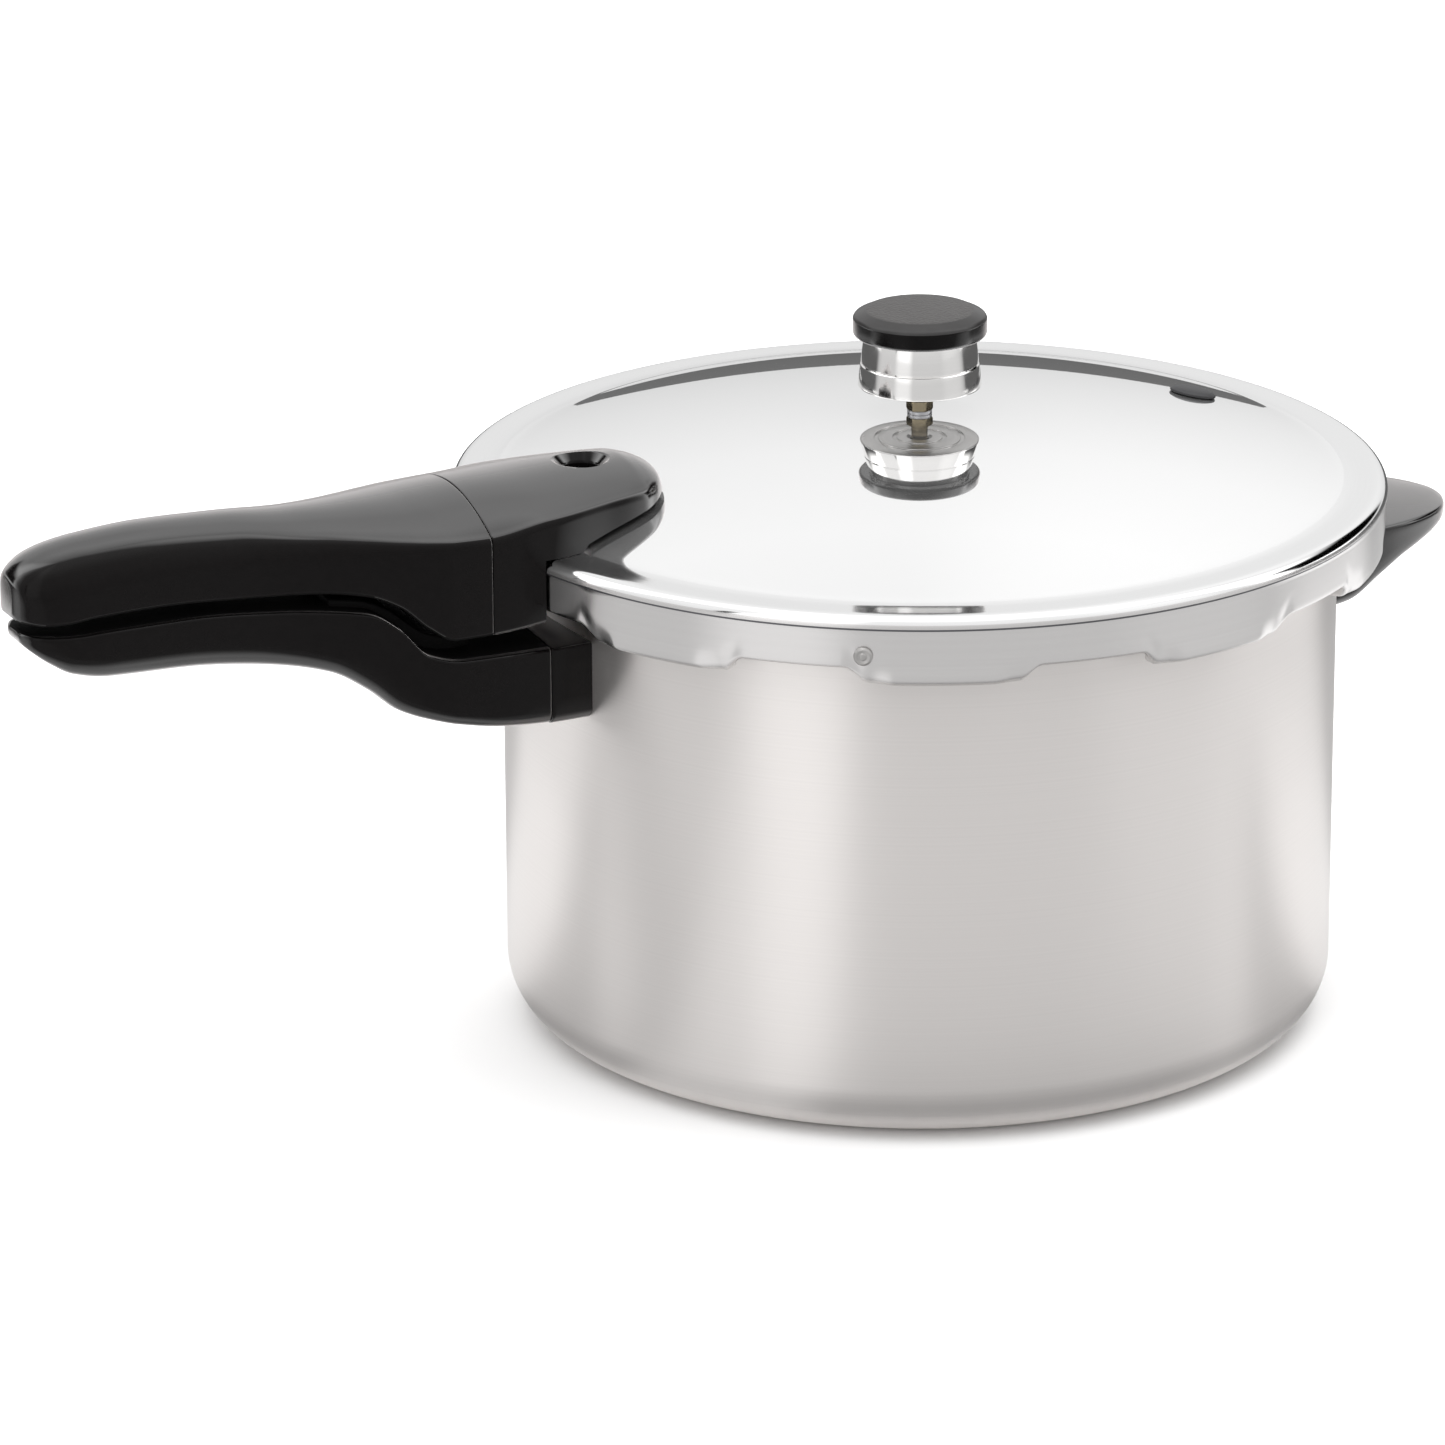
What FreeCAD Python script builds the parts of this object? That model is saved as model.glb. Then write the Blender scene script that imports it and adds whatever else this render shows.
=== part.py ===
import FreeCAD, Part
import math
import os
import Sketcher

# Stovetop pressure cooker, millimetres.
# Origin: centre of the pot's flat base. +Z up, long handles along -X, helper handle along +X.

doc = FreeCAD.newDocument("stovetop_pressure_cooker")
sheet = doc.addObject("Spreadsheet::Sheet", "dims")
sheet_rows = []


def write_cell(name, text):
    sheet_rows.append(name)
    row = len(sheet_rows)
    sheet.set("A%d" % row, name)
    sheet.set("B%d" % row, text)
    sheet.setAlias("B%d" % row, name)


def size(name, value):
    write_cell(name, str(value))


def derived(name, formula):
    write_cell(name, "=" + formula)


# ---- driving dimensions -------------------------------------------------------------------

# pot
size("pot_radius", 113.75)
size("pot_wall", 2.6)
size("base_thickness", 3.2)
size("corner_radius", 16.0)
size("rim_top", 144.0)
size("rim_underside", 136.2)
size("rim_radius", 117.8)
size("rim_cove", 2.0)
derived("pot_bore", "pot_radius - pot_wall")
derived("inner_corner", "corner_radius - pot_wall")
derived("foot_radius", "pot_radius - corner_radius")
derived("inner_corner_top", "base_thickness + inner_corner")
derived("inner_floor_radius", "pot_bore - inner_corner")
derived("cove_low", "rim_underside - rim_cove")
derived("cove_out", "pot_radius + rim_cove")

# bayonet: ten lugs on the pot, ten on the cover
size("lug_count", 10)
size("first_lug_angle", 29.8)
size("pot_lug_half_angle", 8.4)
size("pot_lug_radius", 122.6)
size("pot_lug_height", 6.6)
size("pot_lug_root", 116.0)
derived("lug_pitch", "360 / lug_count")
derived("gap_angle", "first_lug_angle - lug_pitch / 2")
derived("lug_low_angle", "first_lug_angle - pot_lug_half_angle")
derived("lug_high_angle", "first_lug_angle + pot_lug_half_angle")
derived("lug_a_x", "pot_lug_root * cos(lug_low_angle * 1deg)")
derived("lug_a_y", "pot_lug_root * sin(lug_low_angle * 1deg)")
derived("lug_b_x", "pot_lug_radius * cos(lug_low_angle * 1deg)")
derived("lug_b_y", "pot_lug_radius * sin(lug_low_angle * 1deg)")
derived("lug_c_x", "pot_lug_radius * cos(lug_high_angle * 1deg)")
derived("lug_c_y", "pot_lug_radius * sin(lug_high_angle * 1deg)")
derived("lug_d_x", "pot_lug_root * cos(lug_high_angle * 1deg)")
derived("lug_d_y", "pot_lug_root * sin(lug_high_angle * 1deg)")

# cover
size("lid_radius", 127.0)
size("lid_sheet", 2.3)
size("ring_top", 151.8)
size("dome_base_radius", 115.0)
size("dome_rise", 16.3)
size("edge_round", 3.0)
size("lug_bottom", 132.5)
size("gap_bottom", 137.5)
size("lid_lug_bore", 118.6)
size("lug_bend", 3.0)
size("gap_half_width_top", 13.8)
size("gap_half_width_low", 20.9)
size("cutter_low", 128.0)
derived("dome_radius", "(dome_base_radius * dome_base_radius + dome_rise * dome_rise) / (2 * dome_rise)")
derived("dome_apex", "ring_top + dome_rise")
derived("dome_centre", "dome_apex - dome_radius")
derived("dome_inner_radius", "dome_radius - lid_sheet")
derived("dome_inner_apex", "dome_apex - lid_sheet")
derived("ring_underside", "ring_top - lid_sheet")
derived("inner_base_radius", "sqrt(dome_inner_radius ^ 2 - (ring_underside - dome_centre) ^ 2)")
derived("skirt_bore", "lid_radius - lid_sheet")
derived("edge_flat_radius", "lid_radius - edge_round")
derived("edge_low", "ring_top - edge_round")
derived("inner_edge_round", "edge_round - lid_sheet")
derived("lug_bend_top", "lug_bottom + lug_bend")
derived("lug_bend_radius", "lid_radius - lug_bend")
derived("lug_top", "lug_bottom + lid_sheet")
derived("gap_mid", "(lug_bottom + gap_bottom) / 2")
derived("gap_half_width_mid", "(gap_half_width_top + gap_half_width_low) / 2")
derived("gap_rise", "gap_bottom - gap_mid")
derived("gap_run", "gap_half_width_low - gap_half_width_mid")
derived("gap_curve", "(gap_rise * gap_rise + gap_run * gap_run) / (2 * gap_rise)")

# rubber ring under the cover
size("seal_bore", 113.0)
size("seal_web_radius", 119.0)
size("seal_gap", 0.3)
size("seal_lip", 1.6)
size("seal_radius", 124.0)
derived("seal_low", "rim_top + seal_gap")
derived("seal_low_lip", "seal_low + seal_lip")
derived("seal_high_lip", "ring_underside - seal_lip")

# stop rivet
size("rivet_angle", 236.3)
size("rivet_height", 141.2)
size("rivet_shank", 2.0)
size("rivet_head", 2.5)
size("rivet_head_height", 0.9)
size("rivet_inner_end", 119.4)
derived("rivet_outer", "lid_radius + rivet_head_height")

# vent pipe, its washer and nut
size("pipe_radius", 2.3)
size("pipe_bore", 0.9)
size("pipe_top", 186.0)
size("thread_radius", 2.8)
size("thread_low", 158.5)
size("vent_hole", 3.0)
size("washer_radius", 3.4)
size("washer_height", 1.1)
size("hex_flats", 6.3)
size("hex_height", 2.6)
size("nut_flats", 11.0)
size("nut_height", 3.6)
derived("washer_top", "dome_apex + washer_height")
derived("hex_corner", "hex_flats / sqrt(3)")
derived("hex_half_corner", "hex_corner / 2")
derived("hex_half_flat", "hex_flats / 2")
size("nut_clear", 0.06)
derived("nut_low", "dome_inner_apex - nut_height - nut_clear")
derived("nut_corner", "nut_flats / sqrt(3)")
derived("nut_half_corner", "nut_corner / 2")
derived("nut_half_flat", "nut_flats / 2")

# pressure regulator
size("weight_low", 176.0)
size("weight_top", 190.2)
size("weight_low_radius", 16.9)
size("weight_top_radius", 15.1)
size("weight_edge", 0.4)
size("groove_height", 182.5)
size("groove_half", 0.35)
size("groove_depth", 0.4)
size("weight_bore", 2.7)
size("weight_bore_mouth", 3.6)
size("weight_bore_top", 186.4)
size("ring_groove_a", 6.4)
size("ring_groove_b", 11.6)
size("ring_groove_width", 1.2)
size("ring_groove_depth", 0.6)
size("boss_radius", 5.0)
size("boss_height", 3.6)
size("cap_radius", 18.2)
size("cap_low_round", 1.2)
size("cap_side_top", 194.6)
size("cap_bevel_radius", 17.3)
size("cap_bevel_height", 196.0)
size("cap_disc_radius", 14.6)
size("cap_disc_height", 197.2)
size("cap_top", 197.6)
derived("weight_low_edge", "weight_low + weight_edge")
derived("weight_low_face", "weight_low_radius - weight_edge")
derived("weight_slope", "(weight_low_radius - weight_top_radius) / (weight_top - weight_low)")
derived("groove_low", "groove_height - groove_half")
derived("groove_high", "groove_height + groove_half")
derived("groove_low_radius", "weight_low_radius - weight_slope * (groove_low - weight_low)")
derived("groove_high_radius", "weight_low_radius - weight_slope * (groove_high - weight_low)")
derived("groove_floor_radius", "groove_low_radius - groove_depth")
derived("bore_mouth_top", "weight_low + weight_bore_mouth - weight_bore")
derived("ring_groove_a_out", "ring_groove_a + ring_groove_width")
derived("ring_groove_b_out", "ring_groove_b + ring_groove_width")
derived("ring_groove_top", "weight_low + ring_groove_depth")
derived("boss_top", "weight_top + boss_height")
derived("cap_low_flat", "cap_radius - cap_low_round")
derived("cap_low_side", "weight_top + cap_low_round")
size("cap_side_round", 1.5)
derived("cap_crown", "cap_top - cap_disc_height")
derived("cap_crown_round", "(cap_disc_radius ^ 2 + cap_crown ^ 2) / (2 * cap_crown)")

# overpressure plug
size("plug_distance", 91.6)
size("plug_angle", 7.0)
size("plug_hole", 4.5)
size("plug_head", 6.45)
size("plug_rise", 2.1)
size("plug_head_edge", 0.8)
size("plug_seat", 0.15)
size("plug_flange", 6.6)
size("plug_flange_height", 2.4)
derived("plug_x", "plug_distance * cos(plug_angle * 1deg)")
derived("plug_y", "plug_distance * sin(plug_angle * 1deg)")
derived("plug_height", "dome_centre + sqrt(dome_radius ^ 2 - plug_distance ^ 2)")
derived("plug_tilt", "asin(plug_distance / dome_radius) / 1deg")
size("hollow_clear", 0.06)
derived("plug_inner_face", "-1 * lid_sheet - hollow_clear")
derived("plug_low", "plug_inner_face - plug_flange_height")
derived("plug_dome", "(plug_head ^ 2 + (plug_rise - plug_head_edge) ^ 2) / (2 * (plug_rise - plug_head_edge))")

# air vent and cover lock
size("vent_distance", 101.2)
size("pin_radius", 2.0)
size("pin_hole", 2.4)
size("pin_top", 163.0)
size("pin_low", 143.0)
size("pin_collar", 4.1)
size("pin_collar_height", 2.3)
size("pin_nose", 0.6)
size("gasket_radius", 3.0)
size("gasket_height", 1.7)
size("clip_radius", 3.4)
size("clip_slot", 1.6)
size("clip_low", 156.8)
size("clip_height", 0.6)
derived("vent_x", "-1 * vent_distance")
derived("collar_top", "pin_low + pin_collar_height")
derived("gasket_top", "collar_top + gasket_height")
derived("clip_top", "clip_low + clip_height")
derived("pin_nose_radius", "pin_radius - pin_nose")
derived("pin_nose_low", "pin_top - pin_nose")

# locking bracket inside the pot
size("lock_low", 134.0)
size("lock_top", 148.6)
size("lock_tooth_low", 146.0)
size("lock_face", 110.0)
size("lock_tooth", 104.5)
size("lock_sweep", 6.0)
size("lock_angle", 169.0)

# screws, all alike
size("screw_shank", 2.1)
size("screw_head", 4.0)
size("screw_head_height", 2.3)
size("screw_length", 10.6)
size("screw_socket", 1.3)
size("screw_socket_depth", 1.2)
size("screw_recess", 4.4)
derived("screw_reach", "screw_head_height + screw_length")

# steel brackets: a foot against the wall and a tongue into the handle
size("foot_thickness", 2.0)
size("foot_half_width", 9.0)
size("tongue_half_width", 7.0)
size("tongue_thickness", 1.8)

size("cover_foot_low", 138.6)
size("cover_foot_top", 148.0)
size("cover_tongue_low", 145.0)
size("cover_tongue_end", 156.0)
size("cover_screw_near", 132.4)
size("cover_screw_far", 148.6)
size("cover_screw_low", 136.2)

size("body_foot_low", 106.5)
size("body_foot_top", 124.0)
size("body_tongue_low", 115.5)
size("body_tongue_end", 150.0)
size("body_screw_x", 140.0)
size("body_screw_low", 107.2)

size("helper_foot_low", 107.0)
size("helper_foot_top", 123.0)
size("helper_tongue_low", 118.6)
size("helper_tongue_end", 143.0)
size("helper_screw_x", 134.0)
size("helper_screw_low", 111.4)

for side in ("cover", "body", "helper"):
    derived(side + "_tongue_top", side + "_tongue_low + tongue_thickness")
for side, wall in (("cover", "lid_radius"), ("body", "pot_radius"), ("helper", "pot_radius")):
    derived(side + "_wall_x", "sqrt(%s ^ 2 - foot_half_width ^ 2)" % wall)
    derived(side + "_foot_x", "%s + foot_thickness" % wall)
    derived(side + "_root_x", "%s + foot_thickness / 2" % wall)
derived("cover_head_top", "cover_screw_low + screw_head_height")
derived("body_head_top", "body_screw_low + screw_head_height")
derived("helper_head_top", "helper_screw_low + screw_head_height")

# long handles
size("body_seam", 122.8)
size("handle_dome_gap", 1.6)
size("handle_ring_gap", 0.15)
size("handle_step_radius", 115.3)
size("sight_hole", 5.2)
size("dish_low", 166.8)
size("dish_height", 4.0)
size("dish_radius", 9.4)
derived("dish_top", "dish_low + dish_height")
size("well_low", 100.0)
derived("dome_gap_radius", "dome_radius + handle_dome_gap")
derived("dome_gap_apex", "dome_apex + handle_dome_gap")
derived("dome_gap_step", "dome_centre + sqrt(dome_gap_radius ^ 2 - handle_step_radius ^ 2)")
derived("ring_gap_height", "ring_top + handle_ring_gap")
derived("skirt_gap_radius", "lid_radius + handle_ring_gap")

# rack on the pot's floor
size("rack_radius", 95.0)
size("rack_sheet", 1.2)
size("rack_height", 7.0)
size("rack_lift", 0.1)
size("rack_round", 3.0)
size("rack_centre_hole", 7.0)
size("rack_hole", 4.0)
derived("rack_low", "base_thickness + rack_lift")
derived("rack_top", "rack_low + rack_height")
derived("rack_underside", "rack_top - rack_sheet")
derived("rack_bore", "rack_radius - rack_sheet")
derived("rack_round_low", "rack_top - rack_round")
derived("rack_flat_radius", "rack_radius - rack_round")
derived("rack_inner_round", "rack_round - rack_sheet")

size("through", 600.0)

# Sections of the moulded handles, at distances from the pot's axis:
# distance, half width, lowest point, shoulder, crown, rounding of the lower corners.
cover_front_sections = (
    (80.6, 6.0, 150.0, 163.0, 164.6, 1.0),
    (82.4, 11.0, 149.0, 163.5, 166.2, 1.0),
    (85.8, 15.9, 147.0, 163.7, 168.0, 1.0),
    (91.0, 20.0, 144.0, 163.6, 169.2, 1.0),
    (104.0, 23.4, 140.0, 163.2, 169.4, 1.0),
    (122.0, 27.4, 135.0, 162.3, 168.9, 1.0),
    (139.6, 28.5, 133.8, 159.9, 168.4, 1.0),
)
cover_grip_sections = (
    (139.6, 28.5, 133.8, 159.9, 168.4, 1.0),
    (150.0, 28.1, 133.6, 160.1, 167.8, 1.5),
    (157.0, 26.6, 137.5, 160.3, 167.4, 2.0),
    (164.0, 24.2, 143.6, 160.5, 167.2, 2.5),
    (172.0, 21.2, 146.9, 160.9, 167.1, 2.5),
    (184.0, 17.6, 148.4, 161.4, 167.3, 2.5),
    (204.0, 14.9, 149.3, 162.4, 168.9, 2.5),
    (226.0, 14.0, 150.2, 163.0, 169.6, 2.5),
    (244.0, 13.6, 149.7, 161.3, 168.5, 2.5),
    (256.0, 12.2, 148.6, 160.2, 166.2, 2.0),
    (261.5, 9.4, 149.0, 159.0, 163.4, 1.5),
    (264.0, 5.5, 149.6, 158.0, 160.4, 1.0),
)
body_grip_sections = (
    (122.8, 27.6, 106.0, 127.3, 128.6, 4.0),
    (137.0, 28.4, 107.3, 127.6, 128.8, 4.0),
    (148.0, 28.2, 109.4, 127.8, 129.0, 4.5),
    (157.0, 26.7, 111.8, 130.0, 131.2, 5.0),
    (164.0, 24.3, 114.5, 137.4, 138.5, 5.0),
    (171.0, 21.6, 120.2, 141.8, 142.8, 5.0),
    (180.0, 18.5, 125.4, 143.0, 144.0, 5.0),
    (197.0, 15.5, 129.0, 144.6, 145.6, 5.0),
    (218.0, 14.2, 131.2, 145.8, 146.8, 5.0),
    (240.0, 13.7, 131.8, 145.6, 146.6, 5.0),
    (250.0, 12.8, 134.0, 145.2, 146.0, 4.5),
    (256.0, 11.2, 137.6, 145.3, 146.0, 3.0),
    (260.5, 8.4, 141.2, 145.5, 146.1, 1.6),
    (262.5, 5.0, 143.2, 145.6, 146.0, 0.6),
)
helper_sections = (
    (110.0, 30.0, 103.3, 124.4, 125.6, 3.0),
    (120.0, 29.2, 104.6, 124.3, 125.5, 3.0),
    (130.0, 27.4, 109.6, 124.2, 125.4, 3.0),
    (140.0, 24.8, 114.2, 124.0, 125.2, 3.0),
    (148.0, 21.4, 116.4, 123.8, 124.9, 2.5),
    (155.0, 16.6, 118.0, 123.5, 124.5, 1.8),
    (160.0, 10.6, 119.4, 123.2, 124.0, 1.2),
    (162.8, 5.0, 120.4, 122.9, 123.5, 0.6),
)
section_words = ("place", "width", "low", "shoulder", "crown", "corner")


def section_cells(stem, sections, direction):
    for number, values in enumerate(sections):
        base = "%s_%s" % (stem, "abcdefghijklmn"[number])
        for word, value in zip(section_words, values):
            size(base + "_" + word, value)
        derived(base + "_offset", "%d * %s_place" % (direction, base))
        derived(base + "_side_low", "%s_low + %s_corner" % (base, base))
        derived(base + "_flat", "%s_width - %s_corner" % (base, base))
        derived(base + "_drop", "%s_crown - %s_shoulder" % (base, base))
        derived(base + "_curve", "(%s_width ^ 2 + %s_drop ^ 2) / (2 * %s_drop)" % (base, base, base))


section_cells("cover_front", cover_front_sections, -1)
section_cells("cover_grip", cover_grip_sections, -1)
section_cells("body_grip", body_grip_sections, -1)
section_cells("helper", helper_sections, 1)
doc.recompute()


# ---- helpers ------------------------------------------------------------------------------

def read(name):
    if name == "0":
        return 0.0
    if name.startswith("-"):
        return -float(sheet.get(name[1:]))
    return float(sheet.get(name))


def bound(name):
    if name.startswith("-"):
        return "-1 * dims." + name[1:]
    return "dims." + name


def new_body(label):
    body = doc.addObject("PartDesign::Body", label)
    body.Label = label
    body.Placement = FreeCAD.Placement()
    return body


def role_of(body, role):
    for feature in body.Origin.OriginFeatures:
        if feature.Role == role:
            return feature
    raise ValueError("no origin feature " + role)


def new_sketch(body, name, role, offset=None, turn=None):
    sketch = body.newObject("Sketcher::SketchObject", name)
    sketch.AttachmentSupport = [(role_of(body, role), "")]
    sketch.MapMode = "FlatFace"
    if turn is not None:
        rotation = FreeCAD.Rotation(FreeCAD.Vector(0, 1, 0), read(turn))
        sketch.AttachmentOffset = FreeCAD.Placement(FreeCAD.Vector(), rotation)
        sketch.setExpression("AttachmentOffset.Rotation.Angle", bound(turn))
    if offset is not None:
        sketch.AttachmentOffset = FreeCAD.Placement(FreeCAD.Vector(0, 0, read(offset)), FreeCAD.Rotation())
        sketch.setExpression("AttachmentOffset.Base.z", bound(offset))
    return sketch


def pin_point(sketch, edge, end, x_cell, y_cell):
    for kind, cell, axis in (("DistanceX", x_cell, -2), ("DistanceY", y_cell, -1)):
        if cell == "0":
            sketch.addConstraint(Sketcher.Constraint("PointOnObject", edge, end, axis))
            continue
        number = sketch.addConstraint(Sketcher.Constraint(kind, -1, 1, edge, end, read(cell)))
        sketch.setExpression("Constraints[%d]" % number, bound(cell))


def arc_between(first, second, radius, side):
    middle = (first + second) * 0.5
    along = second - first
    left = FreeCAD.Vector(-along.y, along.x, 0)
    left.normalize()
    half = along.Length / 2
    height = math.sqrt(max(radius * radius - half * half, 0.0))
    centre = middle + left * side * height
    start, finish = (first, second) if side > 0 else (second, first)
    low = math.atan2(start.y - centre.y, start.x - centre.x)
    high = math.atan2(finish.y - centre.y, finish.x - centre.x)
    if high < low:
        high += 2 * math.pi
    return Part.ArcOfCircle(Part.Circle(centre, FreeCAD.Vector(0, 0, 1), radius), low, high)


# A closed outline through named points. arcs maps an edge's number to its radius and to the
# side of its centre, 1 for left and -1 for right.
def outline(sketch, points, arcs=None):
    arcs = arcs or {}
    places = [FreeCAD.Vector(read(x), read(y), 0) for x, y in points]
    ends = []
    for number, here in enumerate(places):
        there = places[(number + 1) % len(places)]
        if number in arcs:
            radius_cell, side = arcs[number]
            edge = sketch.addGeometry(arc_between(here, there, read(radius_cell), side))
            curve = sketch.Geometry[edge]
            forward = (curve.StartPoint - here).Length < (curve.EndPoint - here).Length
            ends.append((edge, 1, 2) if forward else (edge, 2, 1))
        else:
            edge = sketch.addGeometry(Part.LineSegment(here, there))
            ends.append((edge, 1, 2))
    for number, (edge, start, finish) in enumerate(ends):
        following = ends[(number + 1) % len(ends)]
        sketch.addConstraint(Sketcher.Constraint("Coincident", edge, finish, following[0], following[1]))
    for (edge, start, finish), (x_cell, y_cell) in zip(ends, points):
        pin_point(sketch, edge, start, x_cell, y_cell)
    for number, (radius_cell, side) in arcs.items():
        constraint = Sketcher.Constraint("Radius", ends[number][0], read(radius_cell))
        index = sketch.addConstraint(constraint)
        sketch.setExpression("Constraints[%d]" % index, bound(radius_cell))


def circle(sketch, x_cell, y_cell, radius_cell):
    centre = FreeCAD.Vector(read(x_cell), read(y_cell), 0)
    edge = sketch.addGeometry(Part.Circle(centre, FreeCAD.Vector(0, 0, 1), read(radius_cell)))
    index = sketch.addConstraint(Sketcher.Constraint("Radius", edge, read(radius_cell)))
    sketch.setExpression("Constraints[%d]" % index, bound(radius_cell))
    pin_point(sketch, edge, 3, x_cell, y_cell)


def box_outline(sketch, x_low, x_high, y_low, y_high):
    outline(sketch, [(x_low, y_low), (x_high, y_low), (x_high, y_high), (x_low, y_high)])


def revolve(body, name, points, arcs=None, cut=False, sweep=None):
    sketch = new_sketch(body, name + "_profile", "XZ_Plane")
    outline(sketch, points, arcs)
    feature = body.newObject("PartDesign::Groove" if cut else "PartDesign::Revolution", name)
    feature.Profile = sketch
    feature.ReferenceAxis = (sketch, ["V_Axis"])
    feature.Angle = 360
    if sweep is not None:
        feature.Angle = read(sweep)
        feature.setExpression("Angle", bound(sweep))
    body.Tip = feature
    return feature


def pad(body, name, sketch, length_cell, symmetric=False):
    feature = body.newObject("PartDesign::Pad", name)
    feature.Profile = sketch
    feature.Type = "Length"
    if symmetric:
        feature.SideType = "Symmetric"
    feature.Length = read(length_cell)
    feature.setExpression("Length", bound(length_cell))
    body.Tip = feature
    return feature


def pocket(body, name, sketch, length_cell, symmetric=False, upward=False):
    feature = body.newObject("PartDesign::Pocket", name)
    feature.Profile = sketch
    feature.Type = "Length"
    if symmetric:
        feature.SideType = "Symmetric"
    feature.Reversed = upward
    feature.Length = read(length_cell)
    feature.setExpression("Length", bound(length_cell))
    body.Tip = feature
    return feature


def around(body, name, feature, count_cell):
    pattern = body.newObject("PartDesign::PolarPattern", name)
    pattern.Originals = [feature]
    pattern.Axis = (role_of(body, "Z_Axis"), [""])
    pattern.Angle = 360
    pattern.Occurrences = int(read(count_cell))
    pattern.setExpression("Occurrences", bound(count_cell))
    body.Tip = pattern
    return pattern


def move_body(body, x=None, y=None, z=None, turn=None, axis=None):
    if turn is not None:
        rotation = FreeCAD.Rotation(axis, read(turn))
        body.Placement = FreeCAD.Placement(FreeCAD.Vector(), rotation)
        body.setExpression("Placement.Rotation.Angle", bound(turn))
    for letter, cell in (("x", x), ("y", y), ("z", z)):
        if cell is not None:
            body.setExpression("Placement.Base." + letter, bound(cell))


# One cross-section of a moulded handle: flat sides, rounded lower corners, arched crown.
def handle_section(body, stem, letter):
    base = "%s_%s" % (stem, letter)
    sketch = new_sketch(body, base, "YZ_Plane", offset=base + "_offset")
    names = {word: base + "_" + word for word in ("width", "low", "shoulder", "side_low", "flat", "corner", "curve")}
    points = [
        ("-" + names["flat"], names["low"]),
        (names["flat"], names["low"]),
        (names["width"], names["side_low"]),
        (names["width"], names["shoulder"]),
        ("-" + names["width"], names["shoulder"]),
        ("-" + names["width"], names["side_low"]),
    ]
    outline(sketch, points, {1: (names["corner"], 1), 3: (names["curve"], 1), 5: (names["corner"], 1)})
    return sketch


def loft_handle(body, stem, sections):
    letters = "abcdefghijklmn"[:len(sections)]
    sketches = [handle_section(body, stem, letter) for letter in letters]
    feature = body.newObject("PartDesign::AdditiveLoft", stem + "_loft")
    feature.Profile = sketches[0]
    feature.Sections = [(sketch, "") for sketch in sketches[1:]]
    feature.Ruled = False
    body.Tip = feature
    return feature


# Pot-side and cover-side steel brackets share one shape.
def bracket_outlines(side, sign):
    foot = [
        (sign + side + "_wall_x", "-foot_half_width"),
        (sign + side + "_foot_x", "-foot_half_width"),
        (sign + side + "_foot_x", "foot_half_width"),
        (sign + side + "_wall_x", "foot_half_width"),
    ]
    tongue = [
        (sign + side + "_root_x", "-tongue_half_width"),
        (sign + side + "_tongue_end", "-tongue_half_width"),
        (sign + side + "_tongue_end", "tongue_half_width"),
        (sign + side + "_root_x", "tongue_half_width"),
    ]
    return foot, tongue


for side in ("cover", "body", "helper"):
    derived(side + "_foot_height", "%s_foot_top - %s_foot_low" % (side, side))
doc.recompute()


def bracket(side, label, sign, wall_cell, screw_cells):
    body = new_body(label)
    foot, tongue = bracket_outlines(side, sign)
    base = new_sketch(body, label + "_foot", "XY_Plane", offset=side + "_foot_low")
    centre_side = -1 if sign == "" else 1
    outline(base, foot, {3: (wall_cell, centre_side)})
    pad(body, label + "_foot_pad", base, side + "_foot_height")
    arm = new_sketch(body, label + "_arm", "XY_Plane", offset=side + "_tongue_low")
    outline(arm, tongue)
    pad(body, label + "_arm_pad", arm, "tongue_thickness")
    for number, cell in enumerate(screw_cells):
        hole = new_sketch(body, "%s_tapped_%d" % (label, number), "XY_Plane", offset=side + "_tongue_low")
        circle(hole, sign + cell, "0", "screw_shank")
        pocket(body, "%s_tapped_cut_%d" % (label, number), hole, "through", symmetric=True)
    return body


# Room for the bracket in a moulded piece.
def bracket_room(body, side, sign, with_foot):
    foot, tongue = bracket_outlines(side, sign)
    tag = body.Label + "_" + side
    if with_foot:
        first = new_sketch(body, tag + "_foot_room", "XY_Plane", offset=side + "_foot_low")
        outline(first, [(sign + side + "_inner_x", "-foot_half_width"), foot[1], foot[2],
                        (sign + side + "_inner_x", "foot_half_width")])
        pocket(body, tag + "_foot_room_cut", first, side + "_foot_height", upward=True)
    second = new_sketch(body, tag + "_tongue_room", "XY_Plane", offset=side + "_tongue_low")
    outline(second, [(sign + side + "_inner_x", "-tongue_half_width"), tongue[1], tongue[2],
                     (sign + side + "_inner_x", "tongue_half_width")])
    pocket(body, tag + "_tongue_room_cut", second, "tongue_thickness", upward=True)


def screw_room(body, side, sign, x_cell, number):
    tag = "%s_%s_screw_%d" % (body.Label, side, number)
    shank = new_sketch(body, tag + "_shank", "XY_Plane", offset=side + "_head_top")
    circle(shank, sign + x_cell, "0", "screw_shank")
    pocket(body, tag + "_shank_cut", shank, "screw_length", upward=True)
    head = new_sketch(body, tag + "_head", "XY_Plane", offset=side + "_head_top")
    circle(head, sign + x_cell, "0", "screw_recess")
    pocket(body, tag + "_head_cut", head, "screw_well", upward=False)


size("cover_inner_x", 120.0)
size("body_inner_x", 105.0)
size("helper_inner_x", 105.0)
size("screw_well", 40.0)
doc.recompute()

# ---- pot ----------------------------------------------------------------------------------

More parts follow.
